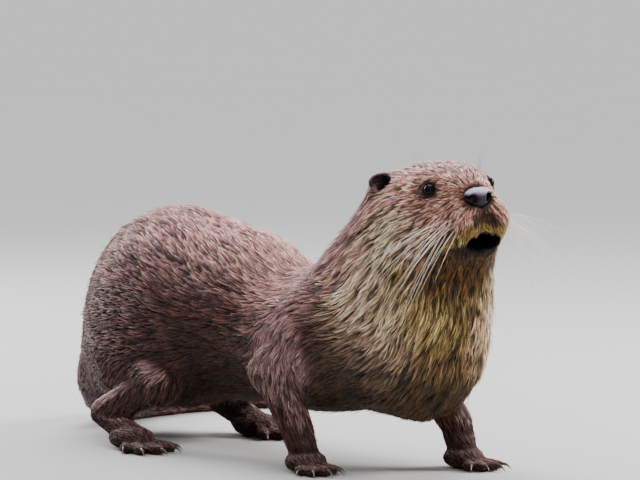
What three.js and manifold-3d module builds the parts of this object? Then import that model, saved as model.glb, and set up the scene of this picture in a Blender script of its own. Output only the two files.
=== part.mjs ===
// A Eurasian otter at life size, low on all fours with its head raised and turned a little to its right.
// Millimetres. +X is forward, +Y is the animal's left and +Z is up. The paws and the tail rest on z = 0.
// The body is a set of soft masses (skull, ribs, thigh and so on) under one smooth surface. Each named part
// is a closed loft drawn over that surface, and thin cuts part it from its neighbours.

import * as THREE from 'three';
import { mergeVertices } from 'three/addons/utils/BufferGeometryUtils.js';
import Module from 'manifold-3d';

const wasm = await Module();
wasm.setup();

const at = (x, y, z) => new THREE.Vector3(x, y, z);

// ---------------------------------------------------------------- driving dimensions

const GAP = 0.3; // between neighbouring parts
const SIDES = { left: 1, right: -1 };

// Head: its frame has its origin midway between the eyes, +X along the muzzle.
const HEAD_PLACE = { x: 216, y: 1, z: 246.5 };
const HEAD_TURN = { yaw: -16, pitch: -13, roll: 4.5 }; // degrees: towards its right, nose up, left side up
const EYE_RADIUS = 6.4;
const EYE_PLACE = { x: 0.5, y: 26.8, z: -0.8 };
const EYE_GAZE = { yaw: 50, pitch: -14 }; // degrees outwards and upwards
const SOCKET = { ahead: 5.5, depth: 3.2, width: 7.2 }; // the dish in the coat around the eye
const EAR_PLACE = { x: -56, y: 40.5, z: 15.5 };
const EAR_RADII = { depth: 8, width: 10, height: 9.5 };
const EAR_CUP = { forward: 5, depth: 8, width: 7.2, height: 6.8 }; // the hollow, ahead of the ear's centre
const EAR_FACING = 38; // degrees outwards from straight ahead
const NOSE_PLACE = { x: 32.6, z: -12.9 };
const MOUTH_PLACE = { x: 18, z: -46 };
const MOUTH_RADII = { length: 20, width: 19, height: 7 };
const CHIN = { x: 4, z: -56, length: 28, width: 21, height: 16 }; // the egg that holds the jaw

// Paws: a palm and five toes, spread like a fan. Angles are in degrees from the inner toe to the outer one.
const TOE_ANGLES = [-40, -19, 0, 19, 38];
const FOREPAW = { palm: at(19, 18, 11), toes: [28, 36, 39, 36, 29], toeRadius: 5.4, height: 4.6 };
const HINDPAW = { palm: at(26, 19, 12), toes: [36, 48, 54, 51, 41], toeRadius: 5.8, height: 4.9 };
const WEB = { reach: 0.72, thickness: 2.4, height: 3.2 }; // share of the toe that the web reaches to
const ANKLE_HEIGHT = 28; // where paws part from legs
const CLAW = { length: 8, radius: 1.8, tip: 0.6, rise: 1.6 };

const rad = THREE.MathUtils.degToRad;
const UP = at(0, 0, 1);
const FORWARD = at(1, 0, 0);

// ---------------------------------------------------------------- soft masses, as distances to their surface

/** An ellipsoid, with radii along its own axes and an optional turn in degrees about Y and Z. */
function ellipsoid(centre, radii, { pitch = 0, yaw = 0 } = {}) {
  const turn = new THREE.Quaternion().setFromEuler(new THREE.Euler(0, rad(pitch), rad(yaw), 'ZYX'));
  const inwards = new THREE.Matrix4().compose(centre, turn, at(1, 1, 1)).invert();
  return (point) => {
    const p = point.clone().applyMatrix4(inwards).divide(radii);
    const share = p.length();
    const slope = p.divide(radii).length();
    return slope > 0 ? (share * (share - 1)) / slope : -Math.min(radii.x, radii.y, radii.z);
  };
}

/** A round bar that tapers from one end to the other. */
function taper(start, startRadius, end, endRadius) {
  const along = end.clone().sub(start);
  const lengthSquared = along.lengthSq();
  return (point) => {
    const fromStart = point.clone().sub(start);
    const share = THREE.MathUtils.clamp(fromStart.dot(along) / lengthSquared, 0, 1);
    const radius = THREE.MathUtils.lerp(startRadius, endRadius, share);
    return fromStart.addScaledVector(along, -share).length() - radius;
  };
}

/** A chain of tapers through joints given as [centre, radius]. */
function limb(softness, joints) {
  const bones = joints.slice(1).map(([end, radius], i) => taper(joints[i][0], joints[i][1], end, radius));
  return blend(softness, bones);
}

/** One surface over several masses, with creases rounded over about the softness. */
function blend(softness, masses) {
  return (point) => {
    let sum = 0;
    for (const mass of masses) sum += Math.exp(-mass(point) / softness);
    return -softness * Math.log(sum);
  };
}

const grown = (mass, by) => (point) => mass(point) - by;
const placedBy = (matrix, mass) => {
  const inwards = matrix.clone().invert();
  return (point) => mass(point.clone().applyMatrix4(inwards));
};

// ---------------------------------------------------------------- lofts and solids

/** Where a ray from a centre leaves the mass for the last time. */
function surfacePoint(mass, centre, direction, reach) {
  const point = at(0, 0, 0);
  let distance = reach;
  for (let step = 0; step < 200; step++) {
    const gap = mass(point.copy(centre).addScaledVector(direction, distance));
    if (gap < 0.01) break;
    distance = Math.max(distance - gap * 0.8, 0.1);
  }
  return point.copy(centre).addScaledVector(direction, distance);
}

/** A closed loft along a line of points, whose rings and rounded ends rest on the mass. */
function loft(mass, points, { rings, sides, endRings = 4, reach = 200, hint = UP }) {
  const line = new THREE.CatmullRomCurve3(points, false, 'centripetal');
  const stations = [];
  for (let i = 0; i <= endRings; i++) stations.push([0, -90 + (90 * i) / endRings]);
  for (let i = 1; i < rings; i++) stations.push([i / rings, 0]);
  for (let i = 0; i <= endRings; i++) stations.push([1, (90 * i) / endRings]);
  const positions = [];
  const faces = [];
  stations.forEach(([share, lean], ring) => {
    const centre = line.getPointAt(share);
    const ahead = line.getTangentAt(share);
    const across = hint.clone().cross(ahead).normalize();
    const upwards = ahead.clone().cross(across);
    for (let side = 0; side < sides; side++) {
      const angle = (2 * Math.PI * side) / sides;
      const ray = across.clone().multiplyScalar(Math.cos(angle)).addScaledVector(upwards, Math.sin(angle));
      ray.multiplyScalar(Math.cos(rad(lean))).addScaledVector(ahead, Math.sin(rad(lean)));
      positions.push(...surfacePoint(mass, centre, ray.normalize(), reach));
      if (ring > 0) {
        const here = ring * sides + side;
        const next = ring * sides + ((side + 1) % sides);
        faces.push(here, here - sides, next - sides, here, next - sides, next);
      }
    }
  });
  const geometry = new THREE.BufferGeometry();
  geometry.setAttribute('position', new THREE.Float32BufferAttribute(positions, 3));
  geometry.setIndex(faces);
  return solid(geometry);
}

/** A manifold solid from a closed geometry, placed by a matrix if one is given. */
function solid(geometry, matrix) {
  const bare = new THREE.BufferGeometry();
  bare.setAttribute('position', geometry.getAttribute('position').clone());
  bare.setIndex(geometry.index);
  if (matrix) bare.applyMatrix4(matrix);
  const merged = mergeVertices(bare, 1e-3);
  const triVerts = [];
  for (let i = 0; i < merged.index.count; i += 3) {
    const [a, b, c] = [0, 1, 2].map((k) => merged.index.getX(i + k));
    if (a !== b && b !== c && c !== a) triVerts.push(a, b, c);
  }
  const vertProperties = merged.getAttribute('position').array;
  const mesh = new wasm.Mesh({ numProp: 3, vertProperties, triVerts: new Uint32Array(triVerts) });
  return new wasm.Manifold(mesh);
}

/** The space on one side of a plane, as a large box. */
function halfSpace(point, normal) {
  const size = 3000;
  const unit = normal.clone().normalize();
  const turn = new THREE.Quaternion().setFromUnitVectors(UP, unit);
  const centre = point.clone().addScaledVector(unit, size / 2);
  const placed = new THREE.Matrix4().compose(centre, turn, at(1, 1, 1));
  return solid(new THREE.BoxGeometry(size, size, size), placed);
}

/** Cuts a solid at a plane: the part ahead of it and the part behind it, a gap apart. */
function part(whole, point, normal) {
  const unit = normal.clone().normalize();
  const [near, far] = [-GAP / 2, GAP / 2].map((shift) => point.clone().addScaledVector(unit, shift));
  const ahead = whole.intersect(halfSpace(far, unit));
  const behind = whole.intersect(halfSpace(near, unit.negate()));
  return { ahead, behind };
}

/** An ellipsoid as a solid. */
function egg(centre, radii, { pitch = 0, yaw = 0, around = 20, rings = 12 } = {}) {
  const turn = new THREE.Quaternion().setFromEuler(new THREE.Euler(0, rad(pitch), rad(yaw), 'ZYX'));
  const placed = new THREE.Matrix4().compose(centre, turn, radii);
  return solid(new THREE.SphereGeometry(1, around, rings), placed);
}

const FLOOR = halfSpace(at(0, 0, 0), at(0, 0, -1));

/** The largest piece of a solid, so that a cut leaves no crumbs. */
function largest(whole) {
  return whole.decompose().reduce((best, piece) => (piece.volume() > best.volume() ? piece : best));
}

const otter = new THREE.Group();
const head = new THREE.Group();
otter.add(head);

const COATS = {
  brown: { color: 0x6b5348, roughness: 0.85, metalness: 0 },
  pale: { color: 0x9a8873, roughness: 0.85, metalness: 0 },
  bare: { color: 0x4a4448, roughness: 0.45, metalness: 0 },
  eye: { color: 0x0c0a0a, roughness: 0.05, metalness: 0 },
  claw: { color: 0x5b4a3c, roughness: 0.5, metalness: 0 },
};

/** Adds a solid to a group as a named mesh. */
function add(group, name, whole, coat) {
  const { vertProperties, triVerts, numProp } = largest(whole).getMesh();
  const positions = [];
  for (let i = 0; i < vertProperties.length; i += numProp) {
    positions.push(...vertProperties.subarray(i, i + 3));
  }
  const geometry = new THREE.BufferGeometry();
  geometry.setAttribute('position', new THREE.Float32BufferAttribute(positions, 3));
  geometry.setIndex([...triVerts]);
  const material = new THREE.MeshStandardMaterial({ ...COATS[coat], flatShading: true });
  const mesh = new THREE.Mesh(geometry, material);
  mesh.name = name;
  group.add(mesh);
}

// ---------------------------------------------------------------- masses of the head, in its own frame

const both = (make) => Object.values(SIDES).map(make);

const backOfHead = [
  ...both((s) => ellipsoid(at(-42, s * 13, -10), at(48, 27, 34))), // braincase
  ...both((s) => ellipsoid(at(-60, s * 32, 9), at(15, 9, 12))), // roots of the ears
  ...both((s) => ellipsoid(at(-38, s * 25, -27), at(38, 21, 26))), // cheeks
  ellipsoid(at(-28, 0, -46), at(36, 32, 22)), // throat
];
const wholeHead = blend(5, [
  ...backOfHead,
  ...both((s) => ellipsoid(at(-10, s * 7, -4), at(33, 20, 22))), // forehead
  ellipsoid(at(12, 0, -18), at(22, 18, 14)), // bridge of the muzzle
  ...both((s) => ellipsoid(at(12, s * 17, -33), at(22, 16, 16))), // whisker pads
  ellipsoid(at(8, 0, -54), at(22, 16, 9)), // chin
]);

head.position.set(HEAD_PLACE.x, HEAD_PLACE.y, HEAD_PLACE.z);
head.rotation.set(rad(HEAD_TURN.roll), rad(HEAD_TURN.pitch), rad(HEAD_TURN.yaw), 'ZYX');
head.updateMatrix();

// ---------------------------------------------------------------- masses of the body

const trunkMasses = [
  ellipsoid(at(-137, 0, 125), at(105, 73, 93), { pitch: -6 }), // rump
  ellipsoid(at(-50, 0, 122), at(80, 62, 78)), // loin and belly
  ellipsoid(at(45, 0, 104), at(90, 66, 62)), // ribs
  ellipsoid(at(153, 12, 109), at(64, 68, 72)), // chest
];
const neckMass = limb(12, [
  [at(100, 2, 126), 60],
  [at(152, 9, 168), 63],
  [at(168, 9, 204), 51],
]);

// The tail lies in a sweep to the left, smooth between these joints, each a centre and a radius.
const TAIL = [
  [at(-190, 0, 96), 46],
  [at(-240, 6, 58), 35],
  [at(-284, 40, 30), 27],
  [at(-304, 104, 20), 21],
  [at(-300, 170, 15), 16],
  [at(-276, 234, 11), 12],
  [at(-232, 290, 7), 8],
  [at(-190, 322, 4), 5],
];
const tailLine = new THREE.CatmullRomCurve3(TAIL.map(([centre]) => centre), false, 'centripetal');
const tailRadius = new THREE.SplineCurve(TAIL.map(([, radius], i) => new THREE.Vector2(i, radius)));
const TAIL_STEPS = 28;
const tailMass = limb(3, Array.from({ length: TAIL_STEPS + 1 }, (_, i) => {
  const share = i / TAIL_STEPS;
  return [tailLine.getPoint(share), tailRadius.getPoint(share).y];
}));

// ---------------------------------------------------------------- limbs, from the body down to the palm

// Each seat is the egg-shaped cut that parts the shoulder or thigh from the trunk.
const FORE_SEAT = { radii: at(46, 40, 52), pitch: 30 };
const HIND_SEAT = { radii: at(74, 44, 68), pitch: 0 };
const FORELEGS = {
  left: {
    joints: [
      [at(126, 42, 104), 34], [at(114, 60, 80), 22],
      [at(156, 59, 38), 15], [at(166, 58, 12), 12],
    ],
    heading: 4, seat: { ...FORE_SEAT, centre: at(114, 74, 92) },
  },
  right: {
    joints: [
      [at(90, -42, 108), 36], [at(54, -64, 84), 22],
      [at(86, -64, 40), 15], [at(96, -62, 12), 12],
    ],
    heading: -14, seat: { ...FORE_SEAT, centre: at(66, -78, 92) },
  },
};
const hindleg = (s) => ({
  joints: [
    [at(-136, s * 46, 84), 34], [at(-98, s * 62, 60), 23],
    [at(-166, s * 70, 30), 13], [at(-122, s * 74, 12), 12],
  ],
  heading: s * 10, seat: { ...HIND_SEAT, centre: at(-138, s * 68, 84) },
});
const HINDLEGS = { left: hindleg(SIDES.left), right: hindleg(SIDES.right) };
const thigh = (s) => ellipsoid(at(-144, s * 44, 94), at(68, 35, 60));
const shoulder = ({ joints: [[centre, radius]] }) => {
  return ellipsoid(centre, at(radius * 1.25, radius, radius * 1.35));
};

const headless = [
  ...trunkMasses,
  neckMass,
  tailMass,
  ...both(thigh),
  ...Object.values(FORELEGS).map(shoulder),
];
const trunkField = blend(9, [...headless, placedBy(head.matrix, blend(5, backOfHead))]);
const headField = blend(9, [...headless, placedBy(head.matrix, wholeHead)]);

// ---------------------------------------------------------------- trunk, neck and tail

const SPINE = [
  at(-175, 0, 118), at(-130, 0, 122), at(-60, 0, 118), at(20, 0, 112),
  at(95, 0, 124), at(145, 0, 165), at(172, 0, 205), at(180, 0, 225),
];
const wholeTrunk = loft(trunkField, SPINE, { rings: 14, sides: 16, endRings: 4, reach: 170 });

const NECK_BASE = { point: at(122, 0, 165), normal: at(0.62, 0, 0.78) };
const NECK_TOP = { point: at(-68, 0, -20), normal: at(0.82, 0, 0.57) }; // in the head's frame
const neckTopPoint = NECK_TOP.point.clone().applyMatrix4(head.matrix);
const neckTopNormal = NECK_TOP.normal.clone().transformDirection(head.matrix);
const TAIL_ROOT = { point: at(-218, 4, 80), normal: at(-0.75, 0.04, -0.66) };
const TAIL_MIDDLE = { point: at(-302, 150, 16), normal: at(0, 1, 0) };

const tailField = blend(9, [...trunkMasses, tailMass, ...both(thigh)]);
const tailCentres = TAIL.map(([centre]) => centre);
const wholeTail = loft(tailField, tailCentres, { rings: 16, sides: 10, endRings: 2, reach: 90 });
const belowHead = part(wholeTrunk, neckTopPoint, neckTopNormal).behind;
const { ahead: neck, behind: neckless } = part(belowHead, NECK_BASE.point, NECK_BASE.normal);
let trunk = part(neckless, TAIL_ROOT.point, TAIL_ROOT.normal).behind;
let tail = part(wholeTail, TAIL_ROOT.point, TAIL_ROOT.normal).ahead.subtract(FLOOR);

add(otter, 'neck', neck, 'pale');

// ---------------------------------------------------------------- legs and paws

/** A palm, five toes and the web between them, on the floor at the origin and heading along +X. */
function paw({ palm, toes, toeRadius, height }, side) {
  const headings = TOE_ANGLES.map((angle) => rad(-side * angle));
  const along = (i, distance, z) => {
    return at(Math.cos(headings[i]) * distance, Math.sin(headings[i]) * distance, z);
  };
  let whole = egg(at(0, 0, palm.z - 1.5), palm, { around: 8, rings: 5 });
  const claws = toes.map((length, i) => {
    const yaw = THREE.MathUtils.radToDeg(headings[i]);
    const toe = (by) => {
      const radii = at(length * 0.42 + by, toeRadius + by, toeRadius + by);
      return egg(along(i, length * 0.66, height), radii, { yaw, around: 5, rings: 4 });
    };
    whole = whole.add(toe(0));
    const root = along(i, length + 1, height + CLAW.rise);
    const tip = along(i, length + 1 + CLAW.length, CLAW.tip * 2);
    const horn = taper(root, CLAW.radius, tip, CLAW.tip);
    return loft(horn, [root, tip], { rings: 1, sides: 4, endRings: 1, reach: 6 }).subtract(toe(GAP));
  });
  const webTips = toes.map((length, i) => along(i, length * WEB.reach, 0));
  const outline = new THREE.Shape([at(0, 0, 0), ...webTips]);
  const web = new THREE.ExtrudeGeometry(outline, { depth: WEB.thickness, bevelEnabled: false });
  whole = whole.add(solid(web, new THREE.Matrix4().makeTranslation(0, 0, WEB.height - WEB.thickness / 2)));
  return { whole, claws };
}

/** A round bar between two joints, as a solid. */
function bar([start, startRadius], [end, endRadius]) {
  const mass = taper(start, startRadius, end, endRadius);
  return loft(mass, [start, end], { rings: 1, sides: 8, endRings: 2, hint: FORWARD, reach: 60 });
}

/** One leg: its muscle is parted from the trunk along an egg, and its paw from the leg at a level plane. */
function leg(kind, side, { joints, heading, seat }, pawSizes) {
  const [hip, knee, ankle, palm] = joints;
  const foot = new THREE.Group();
  foot.position.copy(palm[0]).setZ(0);
  foot.rotation.z = rad(heading);
  foot.updateMatrix();
  otter.add(foot);

  const upper = (by) => {
    const seatRadii = seat.radii.clone().addScalar(by);
    const muscle = egg(seat.centre, seatRadii, { pitch: seat.pitch, around: 10, rings: 7 });
    const thighBone = bar([hip[0], hip[1] - 8 + by], [knee[0], knee[1] + by]);
    const shinBone = bar([knee[0], knee[1] - 4 + by], [ankle[0], ankle[1] + by]);
    return { muscle, bones: thighBone.add(shinBone) };
  };
  const { muscle, bones } = upper(0);
  const grownUpper = upper(GAP);
  trunk = trunk.subtract(grownUpper.muscle).subtract(grownUpper.bones);
  tail = tail.subtract(grownUpper.muscle).subtract(grownUpper.bones);

  const whole = wholeTrunk.intersect(muscle).add(bones).add(bar(ankle, palm)).subtract(FLOOR);
  const { ahead: shank, behind: carpus } = part(whole, at(0, 0, ANKLE_HEIGHT), UP);
  add(otter, `${kind}leg_${side}`, shank, 'brown');

  const { whole: toes, claws } = paw(pawSizes, SIDES[side]);
  const toFoot = foot.matrix.clone().invert().elements;
  add(foot, `${kind}paw_${side}`, carpus.transform(toFoot).add(toes).subtract(FLOOR), 'bare');
  claws.forEach((claw, i) => add(foot, `${kind}claw_${side}_${i + 1}`, claw.subtract(FLOOR), 'claw'));
}

for (const side of Object.keys(SIDES)) {
  leg('fore', side, FORELEGS[side], FOREPAW);
  leg('hind', side, HINDLEGS[side], HINDPAW);
}
add(otter, 'trunk', trunk, 'brown');

const { ahead: tailEnd, behind: tailBase } = part(tail, TAIL_MIDDLE.point, TAIL_MIDDLE.normal);
add(otter, 'tail_base', tailBase, 'brown');
add(otter, 'tail_end', tailEnd, 'brown');

// ---------------------------------------------------------------- head

const fieldInHead = (point) => headField(point.clone().applyMatrix4(head.matrix));
const muzzleLine = [at(-84, 0, -22), at(13, 0, -25)];
let skull = loft(fieldInHead, muzzleLine, { rings: 8, sides: 20, endRings: 6, reach: 140 });
skull = part(skull, NECK_TOP.point, NECK_TOP.normal).ahead;

/** The direction of a turn to one side and a rise, in degrees. */
const heading = (yaw, pitch) => at(1, 0, 0).applyEuler(new THREE.Euler(0, rad(pitch), rad(yaw), 'ZYX'));

for (const [side, s] of Object.entries(SIDES)) {
  const eye = at(EYE_PLACE.x, s * EYE_PLACE.y, EYE_PLACE.z);
  const gaze = { yaw: s * EYE_GAZE.yaw, pitch: EYE_GAZE.pitch };
  const eyeball = (by) => {
    const radius = EYE_RADIUS + by;
    return egg(eye, at(radius, radius, radius), { ...gaze, around: 10, rings: 7 });
  };
  const dishCentre = eye.clone().addScaledVector(heading(gaze.yaw, gaze.pitch), SOCKET.ahead);
  const dishRadii = at(SOCKET.depth, SOCKET.width, SOCKET.width);
  const dish = egg(dishCentre, dishRadii, { ...gaze, around: 10, rings: 5 });
  add(head, `eye_${side}`, eyeball(0), 'eye');
  skull = skull.subtract(eyeball(GAP)).subtract(dish);

  const ear = at(EAR_PLACE.x, s * EAR_PLACE.y, EAR_PLACE.z);
  const facing = { yaw: s * EAR_FACING };
  const shell = (by) => {
    const radii = at(EAR_RADII.depth + by, EAR_RADII.width + by, EAR_RADII.height + by);
    return egg(ear, radii, { ...facing, around: 10, rings: 6 });
  };
  const cupCentre = ear.clone().addScaledVector(heading(facing.yaw, 0), EAR_CUP.forward);
  const cupRadii = at(EAR_CUP.depth, EAR_CUP.width, EAR_CUP.height);
  const cup = egg(cupCentre, cupRadii, { ...facing, around: 8, rings: 5 });
  add(head, `ear_${side}`, shell(0).subtract(cup), 'brown');
  skull = skull.subtract(shell(GAP)).subtract(cup);
}

// Nose: a broad naked pad with a nostril at each side and a point towards the lip.
const noseMass = blend(2, [
  ellipsoid(at(NOSE_PLACE.x, 0, NOSE_PLACE.z + 1), at(7, 10, 7)),
  ...both((s) => ellipsoid(at(NOSE_PLACE.x - 2, s * 7.5, NOSE_PLACE.z - 1), at(6.5, 5, 5.5))),
  ellipsoid(at(NOSE_PLACE.x, 0, NOSE_PLACE.z - 6.5), at(5, 3.5, 4)),
]);
const noseShape = (by) => {
  const ends = both((s) => at(NOSE_PLACE.x, -s * 8, NOSE_PLACE.z));
  return loft(grown(noseMass, by), ends, { rings: 5, sides: 8, endRings: 2, reach: 20 });
};
const nostril = (s) => {
  const centre = at(NOSE_PLACE.x + 4, s * 7.8, NOSE_PLACE.z - 2);
  return egg(centre, at(7, 2.8, 2.6), { yaw: s * 30, around: 8, rings: 5 });
};
add(head, 'nose', both(nostril).reduce((rest, hole) => rest.subtract(hole), noseShape(0)), 'bare');
skull = skull.subtract(noseShape(GAP));

// Mouth: slightly open. The jaw is an egg of the chin under the line of the lips.
const mouth = at(MOUTH_PLACE.x, 0, MOUTH_PLACE.z);
const gapeRadii = at(MOUTH_RADII.length, MOUTH_RADII.width, MOUTH_RADII.height);
const gape = egg(mouth, gapeRadii, { pitch: 8, around: 10, rings: 6 });
skull = skull.subtract(gape);
const jawSpace = (by) => {
  const chinRadii = at(CHIN.length + by, CHIN.width + by, CHIN.height + by);
  const chin = egg(at(CHIN.x, 0, CHIN.z), chinRadii, { around: 12, rings: 6 });
  return chin.intersect(halfSpace(at(0, 0, MOUTH_PLACE.z + by), at(0.12, 0, -1)));
};
add(head, 'jaw', skull.intersect(jawSpace(0)), 'pale');
add(head, 'head', skull.subtract(jawSpace(GAP)), 'brown');

// The origin is at the middle of the footprint, on the floor.
otter.updateMatrixWorld(true);
const extent = new THREE.Box3().setFromObject(otter, true);
const middle = extent.getCenter(at(0, 0, 0));
otter.position.set(-middle.x, -middle.y, -extent.min.z);

export default otter;
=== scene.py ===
"""Looks of a life-size Eurasian otter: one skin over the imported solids, a coat of solid tufts that follows
the lie of the hair, and separate eyes, lids, nose, whiskers and claws. Laid out as a Blender add-on."""

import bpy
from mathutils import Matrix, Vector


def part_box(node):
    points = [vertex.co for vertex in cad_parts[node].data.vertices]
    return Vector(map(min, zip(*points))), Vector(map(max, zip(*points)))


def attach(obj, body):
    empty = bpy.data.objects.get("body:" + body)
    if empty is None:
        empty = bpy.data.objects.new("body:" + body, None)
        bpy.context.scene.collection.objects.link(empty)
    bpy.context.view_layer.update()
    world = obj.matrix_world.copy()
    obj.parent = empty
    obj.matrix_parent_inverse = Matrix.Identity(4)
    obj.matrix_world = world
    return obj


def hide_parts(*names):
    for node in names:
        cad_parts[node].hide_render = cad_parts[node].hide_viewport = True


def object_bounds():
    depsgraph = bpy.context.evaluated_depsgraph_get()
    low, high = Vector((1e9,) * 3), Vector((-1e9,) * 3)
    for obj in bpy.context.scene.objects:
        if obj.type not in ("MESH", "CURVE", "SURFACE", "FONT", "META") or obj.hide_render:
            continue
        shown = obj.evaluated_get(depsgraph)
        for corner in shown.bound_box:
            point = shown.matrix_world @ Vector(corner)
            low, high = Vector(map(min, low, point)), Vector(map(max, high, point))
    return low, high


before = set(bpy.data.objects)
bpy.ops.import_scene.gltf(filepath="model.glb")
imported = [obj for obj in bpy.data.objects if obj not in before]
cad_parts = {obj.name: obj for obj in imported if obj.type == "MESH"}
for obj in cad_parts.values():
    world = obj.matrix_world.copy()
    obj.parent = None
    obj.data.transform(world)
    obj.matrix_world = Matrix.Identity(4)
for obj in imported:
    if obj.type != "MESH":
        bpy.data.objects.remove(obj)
CAD_BOX = [list(corner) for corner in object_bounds()]

import math

import bmesh
import bpy
import numpy as np
from bpy.props import FloatProperty, FloatVectorProperty, PointerProperty
from mathutils import Matrix, Vector, kdtree
from mathutils.bvhtree import BVHTree

bl_info = {
    "name": "Otter looks",
    "version": (1, 0, 0),
    "blender": (4, 5, 0),
    "location": "3D View > Sidebar > Otter",
    "description": "Skin, coat, face, claws and stage of a life-size otter model",
    "category": "Object",
}

MM = 0.001  # lengths are in metres, and sizes of hairs and features are given in millimetres
SIDES = {"left": 1, "right": -1}

# ---------------------------------------------------------------- arithmetic on vectors and fields


def unit(vectors):
    """Vectors made one long, whether one or a list of them."""
    vectors = np.asarray(vectors, float)
    return vectors / np.maximum(np.linalg.norm(vectors, axis=-1, keepdims=True), 1e-12)


def distance_to(points, centre):
    return np.linalg.norm(points - centre, axis=1)


def degrees_between(ways, look):
    """The angle between each way and one other."""
    return np.degrees(np.arccos(np.clip(ways @ look, -1, 1)))


def ease(values, start, end):
    """A smooth step from 0 at start to 1 at end."""
    share = np.clip((np.asarray(values, float) - start) / (end - start), 0, 1)
    return share * share * (3 - 2 * share)


def bump(values, top, spread):
    """A smooth hill, 1 at its top."""
    return np.exp(-(((values - top) / spread) ** 2))


def mix(first, second, share):
    """First where the share is 0 and second where it is 1, for colours or numbers."""
    first, second = np.asarray(first, float), np.asarray(second, float)
    share = np.asarray(share, float)
    if first.shape[-1:] == (3,) or second.shape[-1:] == (3,):
        share = share[..., None]
    return first + (second - first) * share


def ripple(points, wavelength, seed):
    """A smooth random value at each point, mostly from -1 to 1, made of crossing waves. Metres."""
    random = np.random.default_rng(seed)
    total = np.zeros(len(points))
    for _ in range(9):
        heading = unit(random.normal(size=3))
        pace = 2 * math.pi / (wavelength * random.uniform(0.7, 1.5))
        total += np.sin(points @ heading * pace + random.uniform(0, 2 * math.pi))
    return total / 3


# ---------------------------------------------------------------- places taken from the frame


def box_of(node):
    """A node's lowest and highest corners."""
    return tuple(np.array(corner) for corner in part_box(node))


def spot(node, u, v, w):
    """A point in a node's box, at shares of its length, width and height."""
    low, high = box_of(node)
    return low + (high - low) * (u, v, w)


def middle(node):
    return spot(node, 0.5, 0.5, 0.5)


NOSE_DROP = math.radians(23)  # the nose lies this far below straight ahead, seen from the eyes
HEAD_ORIGIN = (middle("eye_left") + middle("eye_right")) / 2
HEAD_LEFT = unit(middle("eye_left") - middle("eye_right"))


def head_axes():
    """Straight ahead, left and up, for the head."""
    to_nose = middle("nose") - HEAD_ORIGIN
    to_nose = unit(to_nose - HEAD_LEFT * (to_nose @ HEAD_LEFT))
    above = np.cross(to_nose, HEAD_LEFT)
    ahead = to_nose * math.cos(NOSE_DROP) + above * math.sin(NOSE_DROP)
    return np.array([ahead, HEAD_LEFT, np.cross(ahead, HEAD_LEFT)])


HEAD_AXES = head_axes()


def to_head(points):
    """Points in the head's own frame, in millimetres: ahead, left and up from midway between the eyes."""
    return (np.asarray(points) - HEAD_ORIGIN) @ HEAD_AXES.T / MM


def from_head(points):
    return np.asarray(points) * MM @ HEAD_AXES + HEAD_ORIGIN


# Places and sizes in the head's own frame.
EYES = {side: to_head(middle(f"eye_{side}")) for side in SIDES}
EARS = {side: to_head(middle(f"ear_{side}")) for side in SIDES}
NOSE = to_head(middle("nose"))
HEAD_MIDDLE = np.array([-14.0, 0.0, -16.0])
EYE_RADIUS = 6.4
GAZE_YAW, GAZE_PITCH = math.radians(50), math.radians(14)  # outwards and upwards
EYE_OPENING = 60.0  # degrees from the gaze to the edge of the coat
MOUTH = np.array([17.0, 0.0, -49.0])  # middle of the gape
GAPE_LENGTH, GAPE_WIDTH, GAPE_HEIGHT = 23.0, 16.4, 8.2  # half sizes
GAPE_DIP = 2.2  # how far the gape's upper edge dips on each side of its middle
EAR_CUP = 9.0  # radius of the hollow of an ear


def gaze(side):
    """The way an eye looks."""
    yaw = SIDES[side] * GAZE_YAW
    level = math.cos(GAZE_PITCH)
    return np.array([math.cos(yaw) * level, math.sin(yaw) * level, math.sin(GAZE_PITCH)])


def cup_of(head, side):
    """How far points lie from the hollow of an ear: 1 at its edge."""
    return np.linalg.norm(head - EARS[side] - (8.0, SIDES[side] * -2.2, -1.0), axis=1) / EAR_CUP


def gape_of(head):
    """How far points lie from the middle of the gape: 1 at its edge."""
    ahead, left, above = (head - MOUTH).T
    dipped = GAPE_HEIGHT - GAPE_DIP * bump(np.abs(left), 9.5, 5.0)
    height = np.where(above > 0, dipped, GAPE_HEIGHT)
    return np.sqrt((ahead / GAPE_LENGTH) ** 2 + (left / GAPE_WIDTH) ** 2 + (above / height) ** 2)


# ---------------------------------------------------------------- regions of the body

REGION_NODES = {
    "head": ["head", "jaw"],
    "ears": ["ear_left", "ear_right"],
    "neck": ["neck"],
    "trunk": ["trunk"],
    "tail": ["tail_base", "tail_end"],
    "legs": ["foreleg_left", "foreleg_right", "hindleg_left", "hindleg_right"],
    "paws": ["forepaw_left", "forepaw_right", "hindpaw_left", "hindpaw_right"],
}
REGIONS = list(REGION_NODES)
FLESH = [node for nodes in REGION_NODES.values() for node in nodes]

# For each region: how far the form is smoothed, the coat's depth over the skin, and the length, width and
# lift of a tuft, all in millimetres, then how many layers of tufts cover the skin, how many tufts draw
# together in a lock, and how dark the painted shade in the gaps between locks is.
COAT_COLUMNS = ["smooth", "depth", "length", "width", "lift", "layers", "lock", "gap"]
COAT = {
    "head": (0.10, 1.3, 8.2, 0.76, 1.0, 2.4, 7, 1.9),
    "ears": (0.02, 0.4, 4.0, 0.65, 0.5, 2.2, 4, 0.7),
    "neck": (0.60, 3.2, 17.0, 0.92, 2.4, 3.6, 7, 2.0),
    "trunk": (1.00, 3.0, 15.5, 0.90, 1.8, 3.1, 6, 1.5),
    "tail": (0.40, 2.4, 12.5, 1.15, 1.6, 2.6, 5, 1.0),
    "legs": (0.20, 1.8, 10.5, 1.05, 1.3, 2.3, 5, 1.2),
    "paws": (0.03, 0.4, 4.6, 0.80, 0.4, 1.1, 3, 0.6),
}
LONG = ("neck", "trunk")  # regions whose tufts have two rings between root and tip instead of one
COAT_SLOTS = {
    "head": "fur_face",
    "ears": "fur_face",
    "neck": "fur_throat",
    "trunk": "fur_body",
    "tail": "fur_body",
    "legs": "fur_body",
    "paws": "fur_paw",
}
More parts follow.
